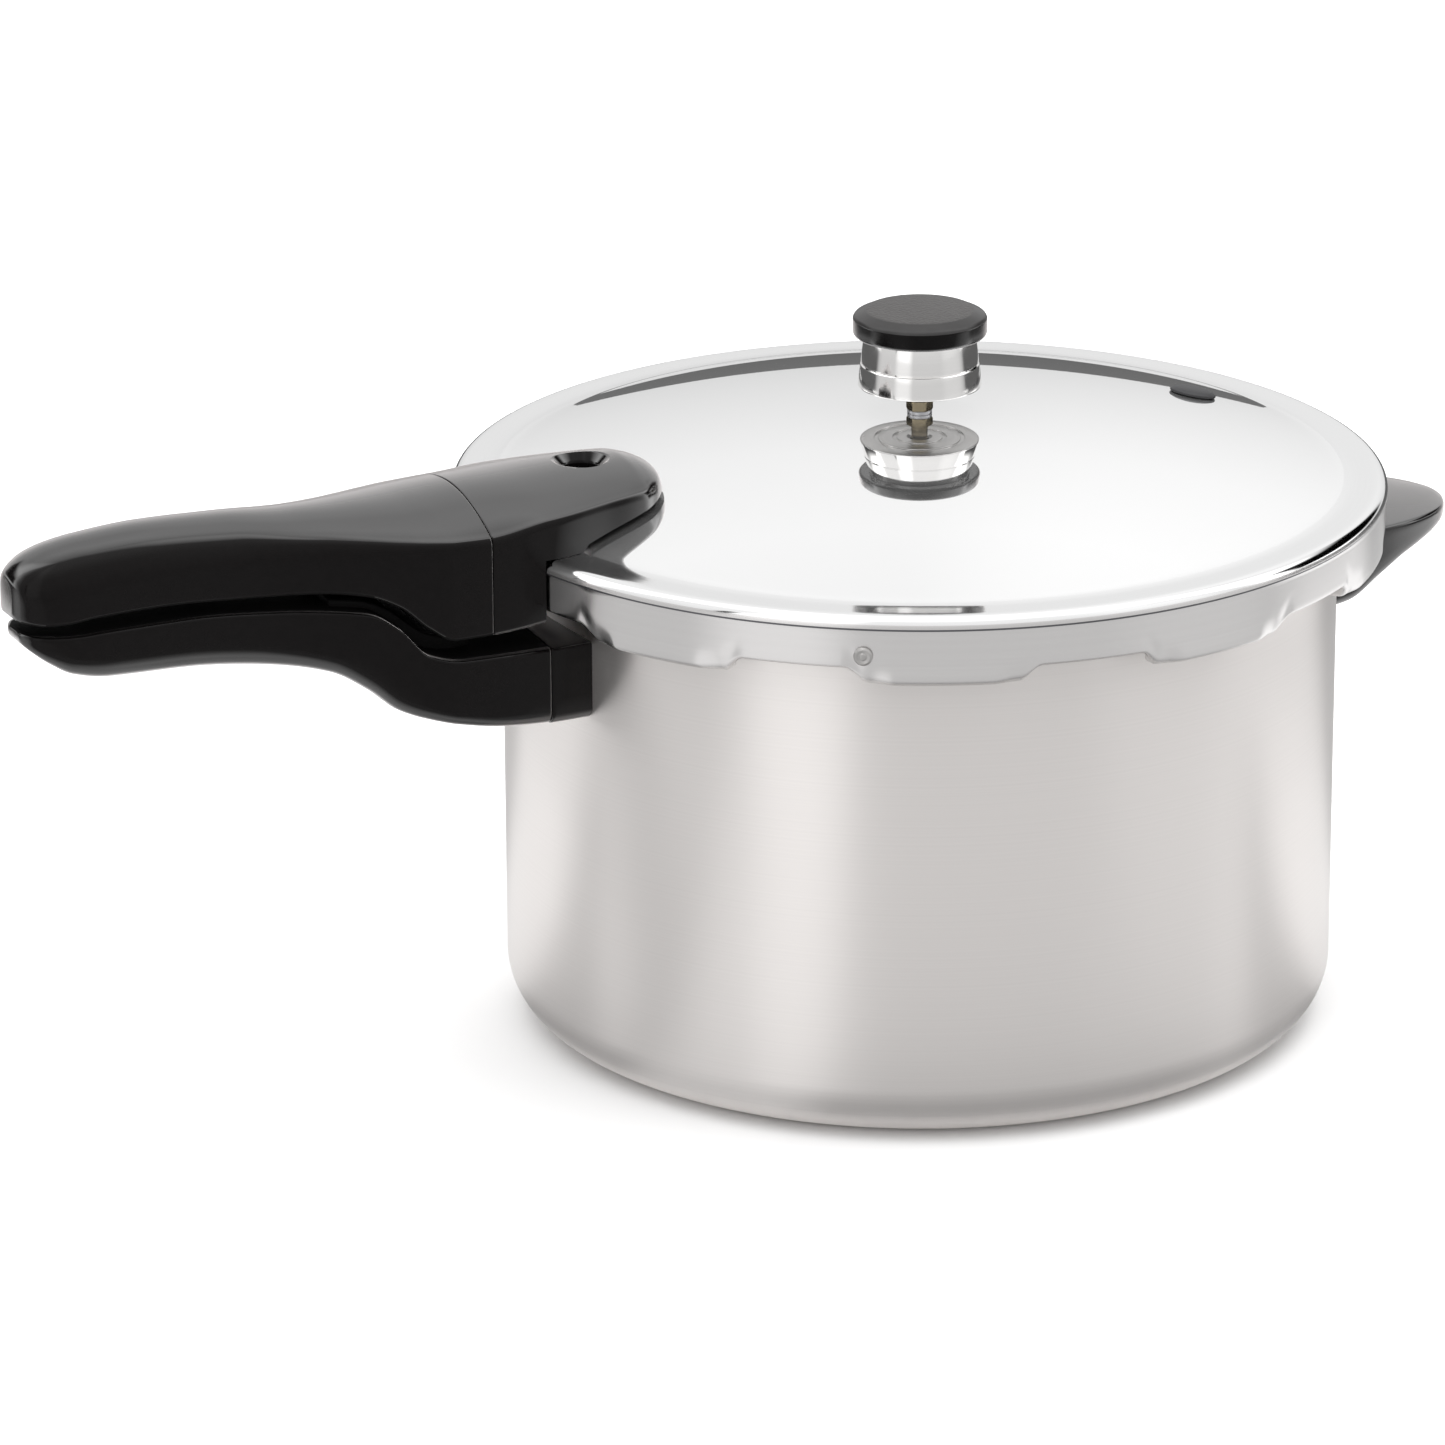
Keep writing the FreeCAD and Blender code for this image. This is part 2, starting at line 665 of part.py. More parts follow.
pot = new_body("pot_body")
revolve(pot, "pot_wall_turned", [
    ("0", "0"),
    ("foot_radius", "0"),
    ("pot_radius", "corner_radius"),
    ("pot_radius", "cove_low"),
    ("cove_out", "rim_underside"),
    ("rim_radius", "rim_underside"),
    ("rim_radius", "rim_top"),
    ("pot_bore", "rim_top"),
    ("pot_bore", "inner_corner_top"),
    ("inner_floor_radius", "base_thickness"),
    ("0", "base_thickness"),
], {1: ("corner_radius", 1), 3: ("rim_cove", -1), 8: ("inner_corner", -1)})
lug_sketch = new_sketch(pot, "pot_lug_plan", "XY_Plane", offset="rim_underside")
outline(lug_sketch, [
    ("lug_a_x", "lug_a_y"),
    ("lug_b_x", "lug_b_y"),
    ("lug_c_x", "lug_c_y"),
    ("lug_d_x", "lug_d_y"),
], {1: ("pot_lug_radius", 1), 3: ("pot_lug_root", -1)})
lug = pad(pot, "pot_lug", lug_sketch, "pot_lug_height")
around(pot, "pot_lugs", lug, "lug_count")

lock = new_body("locking_bracket")
revolve(lock, "lock_turned", [
    ("lock_face", "lock_low"),
    ("pot_bore", "lock_low"),
    ("pot_bore", "lock_top"),
    ("lock_tooth", "lock_top"),
    ("lock_tooth", "lock_tooth_low"),
    ("lock_face", "lock_tooth_low"),
], sweep="lock_sweep")
move_body(lock, turn="lock_angle", axis=FreeCAD.Vector(0, 0, 1))

rack = new_body("cooking_rack")
revolve(rack, "rack_turned", [
    ("0", "rack_underside"),
    ("rack_flat_radius", "rack_underside"),
    ("rack_bore", "rack_round_low"),
    ("rack_bore", "rack_low"),
    ("rack_radius", "rack_low"),
    ("rack_radius", "rack_round_low"),
    ("rack_flat_radius", "rack_top"),
    ("0", "rack_top"),
], {1: ("rack_inner_round", -1), 5: ("rack_round", 1)})
middle_hole = new_sketch(rack, "rack_middle", "XY_Plane")
circle(middle_hole, "0", "0", "rack_centre_hole")
pocket(rack, "rack_middle_cut", middle_hole, "through", symmetric=True)
for ring_name, ring_distance, ring_count in (("inner", 28.0, 8), ("middle", 50.0, 14), ("outer", 72.0, 20)):
    size("rack_%s_distance" % ring_name, ring_distance)
    size("rack_%s_count" % ring_name, ring_count)
doc.recompute()
for ring_name in ("inner", "middle", "outer"):
    ring_hole = new_sketch(rack, "rack_hole_" + ring_name, "XY_Plane")
    circle(ring_hole, "rack_%s_distance" % ring_name, "0", "rack_hole")
    cut = pocket(rack, "rack_cut_" + ring_name, ring_hole, "through", symmetric=True)
    around(rack, "rack_ring_" + ring_name, cut, "rack_%s_count" % ring_name)

# ---- cover --------------------------------------------------------------------------------

lid = new_body("lid_shell")
revolve(lid, "lid_turned", [
    ("0", "dome_inner_apex"),
    ("inner_base_radius", "ring_underside"),
    ("edge_flat_radius", "ring_underside"),
    ("skirt_bore", "edge_low"),
    ("skirt_bore", "lug_bend_top"),
    ("lug_bend_radius", "lug_top"),
    ("lid_lug_bore", "lug_top"),
    ("lid_lug_bore", "lug_bottom"),
    ("lug_bend_radius", "lug_bottom"),
    ("lid_radius", "lug_bend_top"),
    ("lid_radius", "edge_low"),
    ("edge_flat_radius", "ring_top"),
    ("dome_base_radius", "ring_top"),
    ("0", "dome_apex"),
], {
    0: ("dome_inner_radius", -1),
    2: ("inner_edge_round", -1),
    4: ("inner_edge_round", -1),
    8: ("lug_bend", 1),
    10: ("edge_round", 1),
    12: ("dome_radius", 1),
})
gap_sketch = new_sketch(lid, "skirt_gap", "YZ_Plane", turn="gap_angle")
outline(gap_sketch, [
    ("-gap_half_width_low", "cutter_low"),
    ("gap_half_width_low", "cutter_low"),
    ("gap_half_width_low", "lug_bottom"),
    ("gap_half_width_mid", "gap_mid"),
    ("gap_half_width_top", "gap_bottom"),
    ("-gap_half_width_top", "gap_bottom"),
    ("-gap_half_width_mid", "gap_mid"),
    ("-gap_half_width_low", "lug_bottom"),
], {2: ("gap_curve", -1), 3: ("gap_curve", 1), 5: ("gap_curve", 1), 6: ("gap_curve", -1)})
size("gap_reach", 140.0)
doc.recompute()
gap = pocket(lid, "skirt_gap_cut", gap_sketch, "gap_reach")
around(lid, "skirt_gaps", gap, "lug_count")
vent_sketch = new_sketch(lid, "lid_vent_holes", "XY_Plane")
circle(vent_sketch, "0", "0", "vent_hole")
circle(vent_sketch, "vent_x", "0", "pin_hole")
pocket(lid, "lid_vent_cut", vent_sketch, "through", symmetric=True)
plug_bearing = math.atan2(read("plug_y"), read("plug_x"))
plug_axis = FreeCAD.Vector(-math.sin(plug_bearing), math.cos(plug_bearing), 0)
plug_sketch = lid.newObject("Sketcher::SketchObject", "lid_plug_hole")
plug_sketch.AttachmentSupport = [(role_of(lid, "XY_Plane"), "")]
plug_sketch.MapMode = "FlatFace"
plug_sketch.AttachmentOffset = FreeCAD.Placement(
    FreeCAD.Vector(read("plug_x"), read("plug_y"), read("plug_height")),
    FreeCAD.Rotation(plug_axis, read("plug_tilt")))
for letter, cell in (("x", "plug_x"), ("y", "plug_y"), ("z", "plug_height")):
    plug_sketch.setExpression("AttachmentOffset.Base." + letter, bound(cell))
plug_sketch.setExpression("AttachmentOffset.Rotation.Angle", bound("plug_tilt"))
circle(plug_sketch, "0", "0", "plug_hole")
size("plug_cut", 14.0)
doc.recompute()
pocket(lid, "lid_plug_cut", plug_sketch, "plug_cut", symmetric=True)
rivet_sketch = lid.newObject("Sketcher::SketchObject", "lid_rivet_hole")
rivet_sketch.AttachmentSupport = [(role_of(lid, "YZ_Plane"), "")]
rivet_sketch.MapMode = "FlatFace"
rivet_sketch.AttachmentOffset = FreeCAD.Placement(
    FreeCAD.Vector(0, 0, 0), FreeCAD.Rotation(FreeCAD.Vector(0, 1, 0), read("rivet_angle")))
rivet_sketch.setExpression("AttachmentOffset.Rotation.Angle", bound("rivet_angle"))
circle(rivet_sketch, "0", "rivet_height", "rivet_shank")
pocket(lid, "lid_rivet_cut", rivet_sketch, "gap_reach", upward=True)

seal = new_body("sealing_ring")
revolve(seal, "seal_turned", [
    ("seal_bore", "seal_low"),
    ("seal_radius", "seal_low"),
    ("seal_radius", "ring_underside"),
    ("seal_bore", "ring_underside"),
    ("seal_bore", "seal_high_lip"),
    ("seal_web_radius", "seal_high_lip"),
    ("seal_web_radius", "seal_low_lip"),
    ("seal_bore", "seal_low_lip"),
])

derived("rivet_crown", "(rivet_head ^ 2 + rivet_head_height ^ 2) / (2 * rivet_head_height)")
doc.recompute()
rivet = new_body("stop_rivet")
revolve(rivet, "rivet_turned", [
    ("0", "rivet_inner_end"),
    ("rivet_shank", "rivet_inner_end"),
    ("rivet_shank", "lid_radius"),
    ("rivet_head", "lid_radius"),
    ("0", "rivet_outer"),
], {3: ("rivet_crown", 1)})
rivet_bearing = math.radians(read("rivet_angle"))
rivet_side = FreeCAD.Vector(-math.sin(rivet_bearing), math.cos(rivet_bearing), 0)
size("quarter_turn", 90.0)
doc.recompute()
move_body(rivet, z="rivet_height", turn="quarter_turn", axis=rivet_side)

pipe = new_body("vent_pipe")
revolve(pipe, "pipe_turned", [
    ("pipe_bore", "thread_low"),
    ("thread_radius", "thread_low"),
    ("thread_radius", "washer_top"),
    ("pipe_radius", "washer_top"),
    ("pipe_radius", "pipe_top"),
    ("pipe_bore", "pipe_top"),
])


def hexagon(sketch, corner, half_corner, half_flat):
    outline(sketch, [
        (corner, "0"),
        (half_corner, half_flat),
        ("-" + half_corner, half_flat),
        ("-" + corner, "0"),
        ("-" + half_corner, "-" + half_flat),
        (half_corner, "-" + half_flat),
    ])


hex_sketch = new_sketch(pipe, "pipe_hex", "XY_Plane", offset="washer_top")
hexagon(hex_sketch, "hex_corner", "hex_half_corner", "hex_half_flat")
pad(pipe, "pipe_hex_pad", hex_sketch, "hex_height")
bore_sketch = new_sketch(pipe, "pipe_bore_plan", "XY_Plane")
circle(bore_sketch, "0", "0", "pipe_bore")
pocket(pipe, "pipe_bore_cut", bore_sketch, "through", symmetric=True)

washer = new_body("vent_pipe_washer")
revolve(washer, "washer_turned", [
    ("thread_radius", "dome_apex"),
    ("washer_radius", "dome_apex"),
    ("washer_radius", "washer_top"),
    ("thread_radius", "washer_top"),
])

nut = new_body("vent_pipe_nut")
nut_sketch = new_sketch(nut, "nut_plan", "XY_Plane", offset="nut_low")
hexagon(nut_sketch, "nut_corner", "nut_half_corner", "nut_half_flat")
pad(nut, "nut_pad", nut_sketch, "nut_height")
nut_bore = new_sketch(nut, "nut_bore", "XY_Plane")
circle(nut_bore, "0", "0", "thread_radius")
pocket(nut, "nut_bore_cut", nut_bore, "through", symmetric=True)

weight = new_body("regulator_weight")
revolve(weight, "weight_turned", [
    ("weight_bore_mouth", "weight_low"),
    ("ring_groove_a", "weight_low"),
    ("ring_groove_a", "ring_groove_top"),
    ("ring_groove_a_out", "ring_groove_top"),
    ("ring_groove_a_out", "weight_low"),
    ("ring_groove_b", "weight_low"),
    ("ring_groove_b", "ring_groove_top"),
    ("ring_groove_b_out", "ring_groove_top"),
    ("ring_groove_b_out", "weight_low"),
    ("weight_low_face", "weight_low"),
    ("weight_low_radius", "weight_low_edge"),
    ("groove_low_radius", "groove_low"),
    ("groove_floor_radius", "groove_height"),
    ("groove_high_radius", "groove_high"),
    ("weight_top_radius", "weight_top"),
    ("boss_radius", "weight_top"),
    ("boss_radius", "boss_top"),
    ("0", "boss_top"),
    ("0", "weight_bore_top"),
    ("weight_bore", "weight_bore_top"),
    ("weight_bore", "bore_mouth_top"),
], {9: ("weight_edge", 1)})

cap = new_body("regulator_cap")
revolve(cap, "cap_turned", [
    ("boss_radius", "weight_top"),
    ("cap_low_flat", "weight_top"),
    ("cap_radius", "cap_low_side"),
    ("cap_radius", "cap_side_top"),
    ("cap_bevel_radius", "cap_bevel_height"),
    ("cap_disc_radius", "cap_disc_height"),
    ("0", "cap_top"),
    ("0", "boss_top"),
    ("boss_radius", "boss_top"),
], {1: ("cap_low_round", 1), 3: ("cap_side_round", 1), 5: ("cap_crown_round", 1)})

plug = new_body("overpressure_plug")
revolve(plug, "plug_turned", [
    ("0", "plug_low"),
    ("plug_flange", "plug_low"),
    ("plug_flange", "plug_inner_face"),
    ("plug_hole", "plug_inner_face"),
    ("plug_hole", "plug_seat"),
    ("plug_head", "plug_seat"),
    ("plug_head", "plug_head_edge"),
    ("0", "plug_rise"),
], {6: ("plug_dome", 1)})
move_body(plug, x="plug_x", y="plug_y", z="plug_height", turn="plug_tilt", axis=plug_axis)

pin_piece = new_body("air_vent_pin")
revolve(pin_piece, "pin_turned", [
    ("0", "pin_low"),
    ("pin_collar", "pin_low"),
    ("pin_collar", "collar_top"),
    ("pin_radius", "collar_top"),
    ("pin_radius", "clip_low"),
    ("clip_slot", "clip_low"),
    ("clip_slot", "clip_top"),
    ("pin_radius", "clip_top"),
    ("pin_radius", "pin_nose_low"),
    ("pin_nose_radius", "pin_top"),
    ("0", "pin_top"),
], {8: ("pin_nose", 1)})
move_body(pin_piece, x="vent_x")

gasket = new_body("air_vent_gasket")
revolve(gasket, "gasket_turned", [
    ("pin_radius", "collar_top"),
    ("gasket_radius", "collar_top"),
    ("gasket_radius", "gasket_top"),
    ("pin_radius", "gasket_top"),
])
move_body(gasket, x="vent_x")

clip = new_body("air_vent_clip")
revolve(clip, "clip_turned", [
    ("clip_slot", "clip_low"),
    ("clip_radius", "clip_low"),
    ("clip_radius", "clip_top"),
    ("clip_slot", "clip_top"),
])
move_body(clip, x="vent_x")

# ---- brackets -----------------------------------------------------------------------------

bracket("cover", "cover_handle_bracket", "-", "lid_radius", ["cover_screw_near", "cover_screw_far"])
bracket("body", "body_handle_bracket", "-", "pot_radius", ["body_screw_x"])
bracket("helper", "helper_bracket", "", "pot_radius", ["helper_screw_x"])

# ---- moulded handles ----------------------------------------------------------------------

front = new_body("cover_handle_front")
loft_handle(front, "cover_front", cover_front_sections)
revolve(front, "front_lid_room", [
    ("0", "well_low"),
    ("skirt_gap_radius", "well_low"),
    ("skirt_gap_radius", "ring_gap_height"),
    ("handle_step_radius", "ring_gap_height"),
    ("handle_step_radius", "dome_gap_step"),
    ("0", "dome_gap_apex"),
], {4: ("dome_gap_radius", 1)}, cut=True)
sight = new_sketch(front, "front_sight", "XY_Plane")
circle(sight, "vent_x", "0", "sight_hole")
pocket(front, "front_sight_cut", sight, "through", symmetric=True)
dish_floor = new_sketch(front, "front_dish_floor", "XY_Plane", offset="dish_low")
circle(dish_floor, "vent_x", "0", "sight_hole")
dish_mouth = new_sketch(front, "front_dish_mouth", "XY_Plane", offset="dish_top")
circle(dish_mouth, "vent_x", "0", "dish_radius")
dish = front.newObject("PartDesign::SubtractiveLoft", "front_dish")
dish.Profile = dish_floor
dish.Sections = [(dish_mouth, "")]
dish.Ruled = True
front.Tip = dish
bracket_room(front, "cover", "-", True)
screw_room(front, "cover", "-", "cover_screw_near", 1)

grip = new_body("cover_handle_grip")
loft_handle(grip, "cover_grip", cover_grip_sections)
bracket_room(grip, "cover", "-", False)
screw_room(grip, "cover", "-", "cover_screw_far", 2)

derived("block_offset", "-1 * body_seam")
derived("block_length", "body_seam - body_inner_x")
doc.recompute()
mount_block = new_body("body_handle_mount")
block_sketch = new_sketch(mount_block, "block_section", "YZ_Plane", offset="block_offset")
outline(block_sketch, [
    ("-body_grip_a_flat", "body_grip_a_low"),
    ("body_grip_a_flat", "body_grip_a_low"),
    ("body_grip_a_width", "body_grip_a_side_low"),
    ("body_grip_a_width", "body_grip_a_shoulder"),
    ("-body_grip_a_width", "body_grip_a_shoulder"),
    ("-body_grip_a_width", "body_grip_a_side_low"),
], {1: ("body_grip_a_corner", 1), 3: ("body_grip_a_curve", 1), 5: ("body_grip_a_corner", 1)})
pad(mount_block, "block_pad", block_sketch, "block_length")


def pot_room(body, name):
    revolve(body, name, [
        ("0", "0"),
        ("pot_radius", "0"),
        ("pot_radius", "rim_top"),
        ("0", "rim_top"),
    ], cut=True)


pot_room(mount_block, "block_pot_room")
bracket_room(mount_block, "body", "-", True)

body_grip = new_body("body_handle_grip")
loft_handle(body_grip, "body_grip", body_grip_sections)
bracket_room(body_grip, "body", "-", False)
screw_room(body_grip, "body", "-", "body_screw_x", 1)

helper = new_body("helper_handle")
loft_handle(helper, "helper", helper_sections)
pot_room(helper, "helper_pot_room")
bracket_room(helper, "helper", "", True)
screw_room(helper, "helper", "", "helper_screw_x", 1)

# ---- screws -------------------------------------------------------------------------------

derived("screw_head_edge", "screw_head - 0.8")
derived("screw_head_shoulder", "screw_head_height - 1.2")
size("screw_dome", 1.3)
doc.recompute()


def turned_screw(label, x_cell, z_cell, sign):
    body = new_body(label)
    revolve(body, label + "_turned", [
        ("0", "screw_socket_depth"),
        ("screw_socket", "screw_socket_depth"),
        ("screw_socket", "0"),
        ("screw_head_edge", "0"),
        ("screw_head", "screw_head_shoulder"),
        ("screw_head", "screw_head_height"),
        ("screw_shank", "screw_head_height"),
        ("screw_shank", "screw_reach"),
        ("0", "screw_reach"),
    ], {3: ("screw_dome", 1)})
    move_body(body, x=sign + x_cell, z=z_cell)
    return body


turned_screw("body_handle_screw", "body_screw_x", "body_screw_low", "-")
turned_screw("helper_handle_screw", "helper_screw_x", "helper_screw_low", "")
near_screw = turned_screw("cover_screw_one", "cover_screw_near", "cover_screw_low", "-")
far_screw = turned_screw("cover_screw_two", "cover_screw_far", "cover_screw_low", "-")
pair = doc.addObject("Part::Compound", "cover_handle_screws")
pair.Label = "cover_handle_screws"
pair.Links = [near_screw, far_screw]

# ---- check and write ----------------------------------------------------------------------

doc.recompute()
nodes = (
    "pot_body", "lid_shell", "stop_rivet", "sealing_ring", "vent_pipe", "vent_pipe_washer",
    "vent_pipe_nut", "regulator_weight", "regulator_cap", "overpressure_plug", "air_vent_pin",
    "air_vent_gasket", "air_vent_clip", "locking_bracket", "cover_handle_bracket",
    "cover_handle_front", "cover_handle_grip", "cover_handle_screws", "body_handle_bracket",
    "body_handle_mount", "body_handle_grip", "body_handle_screw", "helper_bracket",
    "helper_handle", "helper_handle_screw", "cooking_rack",
)
problems = []
for thing in doc.Objects:
    if "Invalid" in thing.State or "Error" in thing.State:
        problems.append("%s is %s" % (thing.Label, thing.State))
shapes = {}
for label in nodes:
    found = doc.getObjectsByLabel(label)
    if len(found) != 1:
        problems.append("%s is found %d times" % (label, len(found)))
        continue
    shape = found[0].Shape
    if shape.isNull() or not shape.isValid() or not shape.Solids:
        problems.append("%s has no valid solid" % label)
        continue
    shapes[label] = shape
    span = shape.BoundBox
    print("%-22s solids %d volume %10.1f  x %.1f %.1f  y %.1f %.1f  z %.1f %.1f" % (
        label, len(shape.Solids), shape.Volume,
        span.XMin, span.XMax, span.YMin, span.YMax, span.ZMin, span.ZMax))
if problems:
    raise SystemExit("\n".join(problems))
os.makedirs("parts", exist_ok=True)
for label, shape in shapes.items():
    shape.exportStep("parts/%s.step" % label)
print("wrote", len(shapes), "parts")
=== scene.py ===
import bpy
import bmesh
import math
from mathutils import Matrix, Vector


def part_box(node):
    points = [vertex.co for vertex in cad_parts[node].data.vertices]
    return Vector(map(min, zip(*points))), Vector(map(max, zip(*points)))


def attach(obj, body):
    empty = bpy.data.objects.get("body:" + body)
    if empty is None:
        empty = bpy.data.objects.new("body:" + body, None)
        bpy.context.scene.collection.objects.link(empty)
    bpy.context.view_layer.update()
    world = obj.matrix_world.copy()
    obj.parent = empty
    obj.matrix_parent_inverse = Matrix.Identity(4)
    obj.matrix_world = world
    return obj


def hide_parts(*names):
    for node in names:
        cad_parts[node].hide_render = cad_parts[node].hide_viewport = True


# Stovetop pressure cooker. Metres in the row frame: origin at the centre of the pot's base,
# +Z up, long handles along -X, helper handle along +X. The lengths of shapes are in
# millimetres and pass through MM when a mesh is made; materials and lights are in metres.

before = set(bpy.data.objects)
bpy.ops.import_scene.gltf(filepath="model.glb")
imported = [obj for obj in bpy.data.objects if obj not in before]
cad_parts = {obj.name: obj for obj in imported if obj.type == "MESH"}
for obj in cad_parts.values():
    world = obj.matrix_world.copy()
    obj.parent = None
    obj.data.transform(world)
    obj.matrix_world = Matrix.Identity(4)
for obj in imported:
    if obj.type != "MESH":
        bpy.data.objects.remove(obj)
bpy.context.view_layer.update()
MM = 0.001

# ---- sizes read from the frame, in millimetres ----------------------------------------------


def box_mm(node):
    low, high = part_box(node)
    return [v / MM for v in low], [v / MM for v in high]


lid_low, lid_high = box_mm("lid_shell")
pot_high = box_mm("pot_body")[1]
weight_low = box_mm("regulator_weight")[0]
cap_low, cap_high = box_mm("regulator_cap")
grip_high = box_mm("cover_handle_grip")[1]
body_high = box_mm("body_handle_grip")[1]
pipe_low, pipe_high = box_mm("vent_pipe")

LID_R = lid_high[1]
LUG_BOTTOM = lid_low[2]
DOME_TOP = lid_high[2]
SHEET = 2.3
RING_TOP = DOME_TOP - 16.3
RING_UNDER = RING_TOP - SHEET
DOME_BASE = 115.0
DOME_R = (DOME_BASE ** 2 + (DOME_TOP - RING_TOP) ** 2) / (2 * (DOME_TOP - RING_TOP))
DOME_CENTRE = DOME_TOP - DOME_R
GAP_BOTTOM = LUG_BOTTOM + 5.0
FIRST_LUG = 29.8
PITCH = 36.0
POT_R = 113.75
POT_WALL = 2.6
POT_BORE = POT_R - POT_WALL
POT_TOP = pot_high[2]
RIM_R = 117.8
RIM_UNDER = 136.2
RIM_COVE = 2.0
POT_LUG_R = 122.6
POT_LUG_FOOT = 116.0
POT_LUG_TOP = 142.8
POT_LUG_HALF = 8.4
SEAM_COVER = -grip_high[0]
SEAM_BODY = -body_high[0]
SEAM_GAP = 0.1


def dome_z(r, offset=0.0):
    radius = DOME_R + offset
    return DOME_CENTRE + math.sqrt(radius * radius - r * r)


# ---- mesh helpers ---------------------------------------------------------------------------


def mesh_object(name, verts, faces, material, sharp=32.0):
    mesh = bpy.data.meshes.new(name)
    mesh.from_pydata([tuple(c * MM for c in v) for v in verts], [], faces)
    bm = bmesh.new()
    bm.from_mesh(mesh)
    bmesh.ops.remove_doubles(bm, verts=bm.verts, dist=1e-7)
    bmesh.ops.recalc_face_normals(bm, faces=bm.faces)
    bm.to_mesh(mesh)
    bm.free()
    mesh.polygons.foreach_set("use_smooth", [True] * len(mesh.polygons))
    mesh.set_sharp_from_angle(angle=math.radians(sharp))
    thing = bpy.data.objects.new(name, mesh)
    bpy.context.scene.collection.objects.link(thing)
    if material is not None:
        mesh.materials.append(material)
    return thing


def arc(cx, cz, radius, start, stop, steps):
    points = []
    for i in range(steps + 1):
        a = math.radians(start + (stop - start) * i / steps)
        points.append((cx + radius * math.cos(a), cz + radius * math.sin(a)))
    return points


def rounded(corners, steps=6):
    """A polyline with each corner (x, z, radius) replaced by an arc; ends keep their places."""
    points = []
    count = len(corners)
    for i, (x, z, radius) in enumerate(corners):
        if radius <= 0 or i in (0, count - 1):
            points.append((x, z))
            continue
        here = Vector((x, z))
        a = Vector(corners[i - 1][:2]) - here
        b = Vector(corners[i + 1][:2]) - here
        angle = a.angle(b)
        back = radius / math.tan(angle / 2)
        a.normalize()
        b.normalize()
        centre = here + (a + b).normalized() * (radius / math.sin(angle / 2))
        first = here + a * back - centre
        last = here + b * back - centre
        turn = first.angle_signed(last)
        for k in range(steps + 1):
            s = math.sin(-turn * k / steps)
            c = math.cos(-turn * k / steps)
            points.append((centre.x + c * first.x - s * first.y, centre.y + s * first.x + c * first.y))
    return points


def lathe(name, profile, material, segments=192):
    """Turns a closed profile of (radius, height) about Z."""
    verts = []
    faces = []
    rows = len(profile)
    for i in range(segments):
        a = 2 * math.pi * i / segments
        for r, z in profile:
            verts.append((r * math.cos(a), r * math.sin(a), z))
    for i in range(segments):
        j = (i + 1) % segments
        for k in range(rows):
            m = (k + 1) % rows
            if profile[k][0] < 1e-6 and profile[m][0] < 1e-6:
                continue
            faces.append([i * rows + k, j * rows + k, j * rows + m, i * rows + m])
    return mesh_object(name, verts, faces, material)


def smooth_value(table, column, t):
    """Monotone cubic through the named stations, so that an outline never overshoots."""
    xs = [row[0] for row in table]
    ys = [row[column] for row in table]
    if t <= xs[0]:
        return ys[0]
    if t >= xs[-1]:
        return ys[-1]
    k = max(i for i in range(len(xs) - 1) if xs[i] <= t)
    slopes = [(ys[i + 1] - ys[i]) / (xs[i + 1] - xs[i]) for i in range(len(xs) - 1)]

    def tangent(i):
        if i == 0:
            return slopes[0]
        if i == len(xs) - 1:
            return slopes[-1]
        left, right = slopes[i - 1], slopes[i]
        if left * right <= 0:
            return 0.0
        wl = 2 * (xs[i + 1] - xs[i]) + (xs[i] - xs[i - 1])
        wr = (xs[i + 1] - xs[i]) + 2 * (xs[i] - xs[i - 1])
        return (wl + wr) / (wl / left + wr / right)

    span = xs[k + 1] - xs[k]
    u = (t - xs[k]) / span
    m0, m1 = tangent(k) * span, tangent(k + 1) * span
    return ((2 * u ** 3 - 3 * u ** 2 + 1) * ys[k] + (u ** 3 - 2 * u ** 2 + u) * m0
            + (-2 * u ** 3 + 3 * u ** 2) * ys[k + 1] + (u ** 3 - u ** 2) * m1)


# ---- materials ------------------------------------------------------------------------------


LINE_SCALE = 1600.0
LINE_DEPTH = 0.00002
FLOW_DEPTH = 0.0003


def new_material(name):
    material = bpy.data.materials.new(name)
    material.use_nodes = True
    nodes = material.node_tree.nodes
    links = material.node_tree.links
    shader = nodes["Principled BSDF"]
    return material, nodes, links, shader


def noise(nodes, links, scale, detail):
    """Noise over object coordinates."""
    coords = nodes.new("ShaderNodeTexCoord")
    tex = nodes.new("ShaderNodeTexNoise")
    tex.inputs["Scale"].default_value = scale
    tex.inputs["Detail"].default_value = detail
    links.new(coords.outputs["Object"], tex.inputs["Vector"])
    return tex


def ranged(nodes, links, source, low, high):
    node = nodes.new("ShaderNodeMapRange")
    node.inputs["To Min"].default_value = low
    node.inputs["To Max"].default_value = high
    links.new(source, node.inputs["Value"])
    return node.outputs["Result"]


def smooth_range(nodes, links, source, from_min, from_max, to_min=0.0, to_max=1.0):
    """Carries source from one range to another with soft ends, and holds it outside."""
    node = nodes.new("ShaderNodeMapRange")
    node.interpolation_type = "SMOOTHSTEP"
    node.inputs["From Min"].default_value = from_min
    node.inputs["From Max"].default_value = from_max
    node.inputs["To Min"].default_value = to_min
    node.inputs["To Max"].default_value = to_max
    links.new(source, node.inputs["Value"])
    return node.outputs["Result"]


def product(nodes, links, first, second):
    node = nodes.new("ShaderNodeMath")
    node.operation = "MULTIPLY"
    links.new(first, node.inputs[0])
    links.new(second, node.inputs[1])
    return node.outputs["Value"]


def grey_ramp(nodes, links, source, stops):
    """Greys through the stops, each a place and a level."""
    node = nodes.new("ShaderNodeValToRGB")
    elements = node.color_ramp.elements
    for element, (place, level) in ((elements[0], stops[0]), (elements[1], stops[-1])):
        element.position = place
        element.color = (level, level, level, 1)
    for place, level in stops[1:-1]:
        elements.new(place).color = (level, level, level, 1)
    links.new(source, node.inputs["Fac"])
    return node.outputs["Color"]


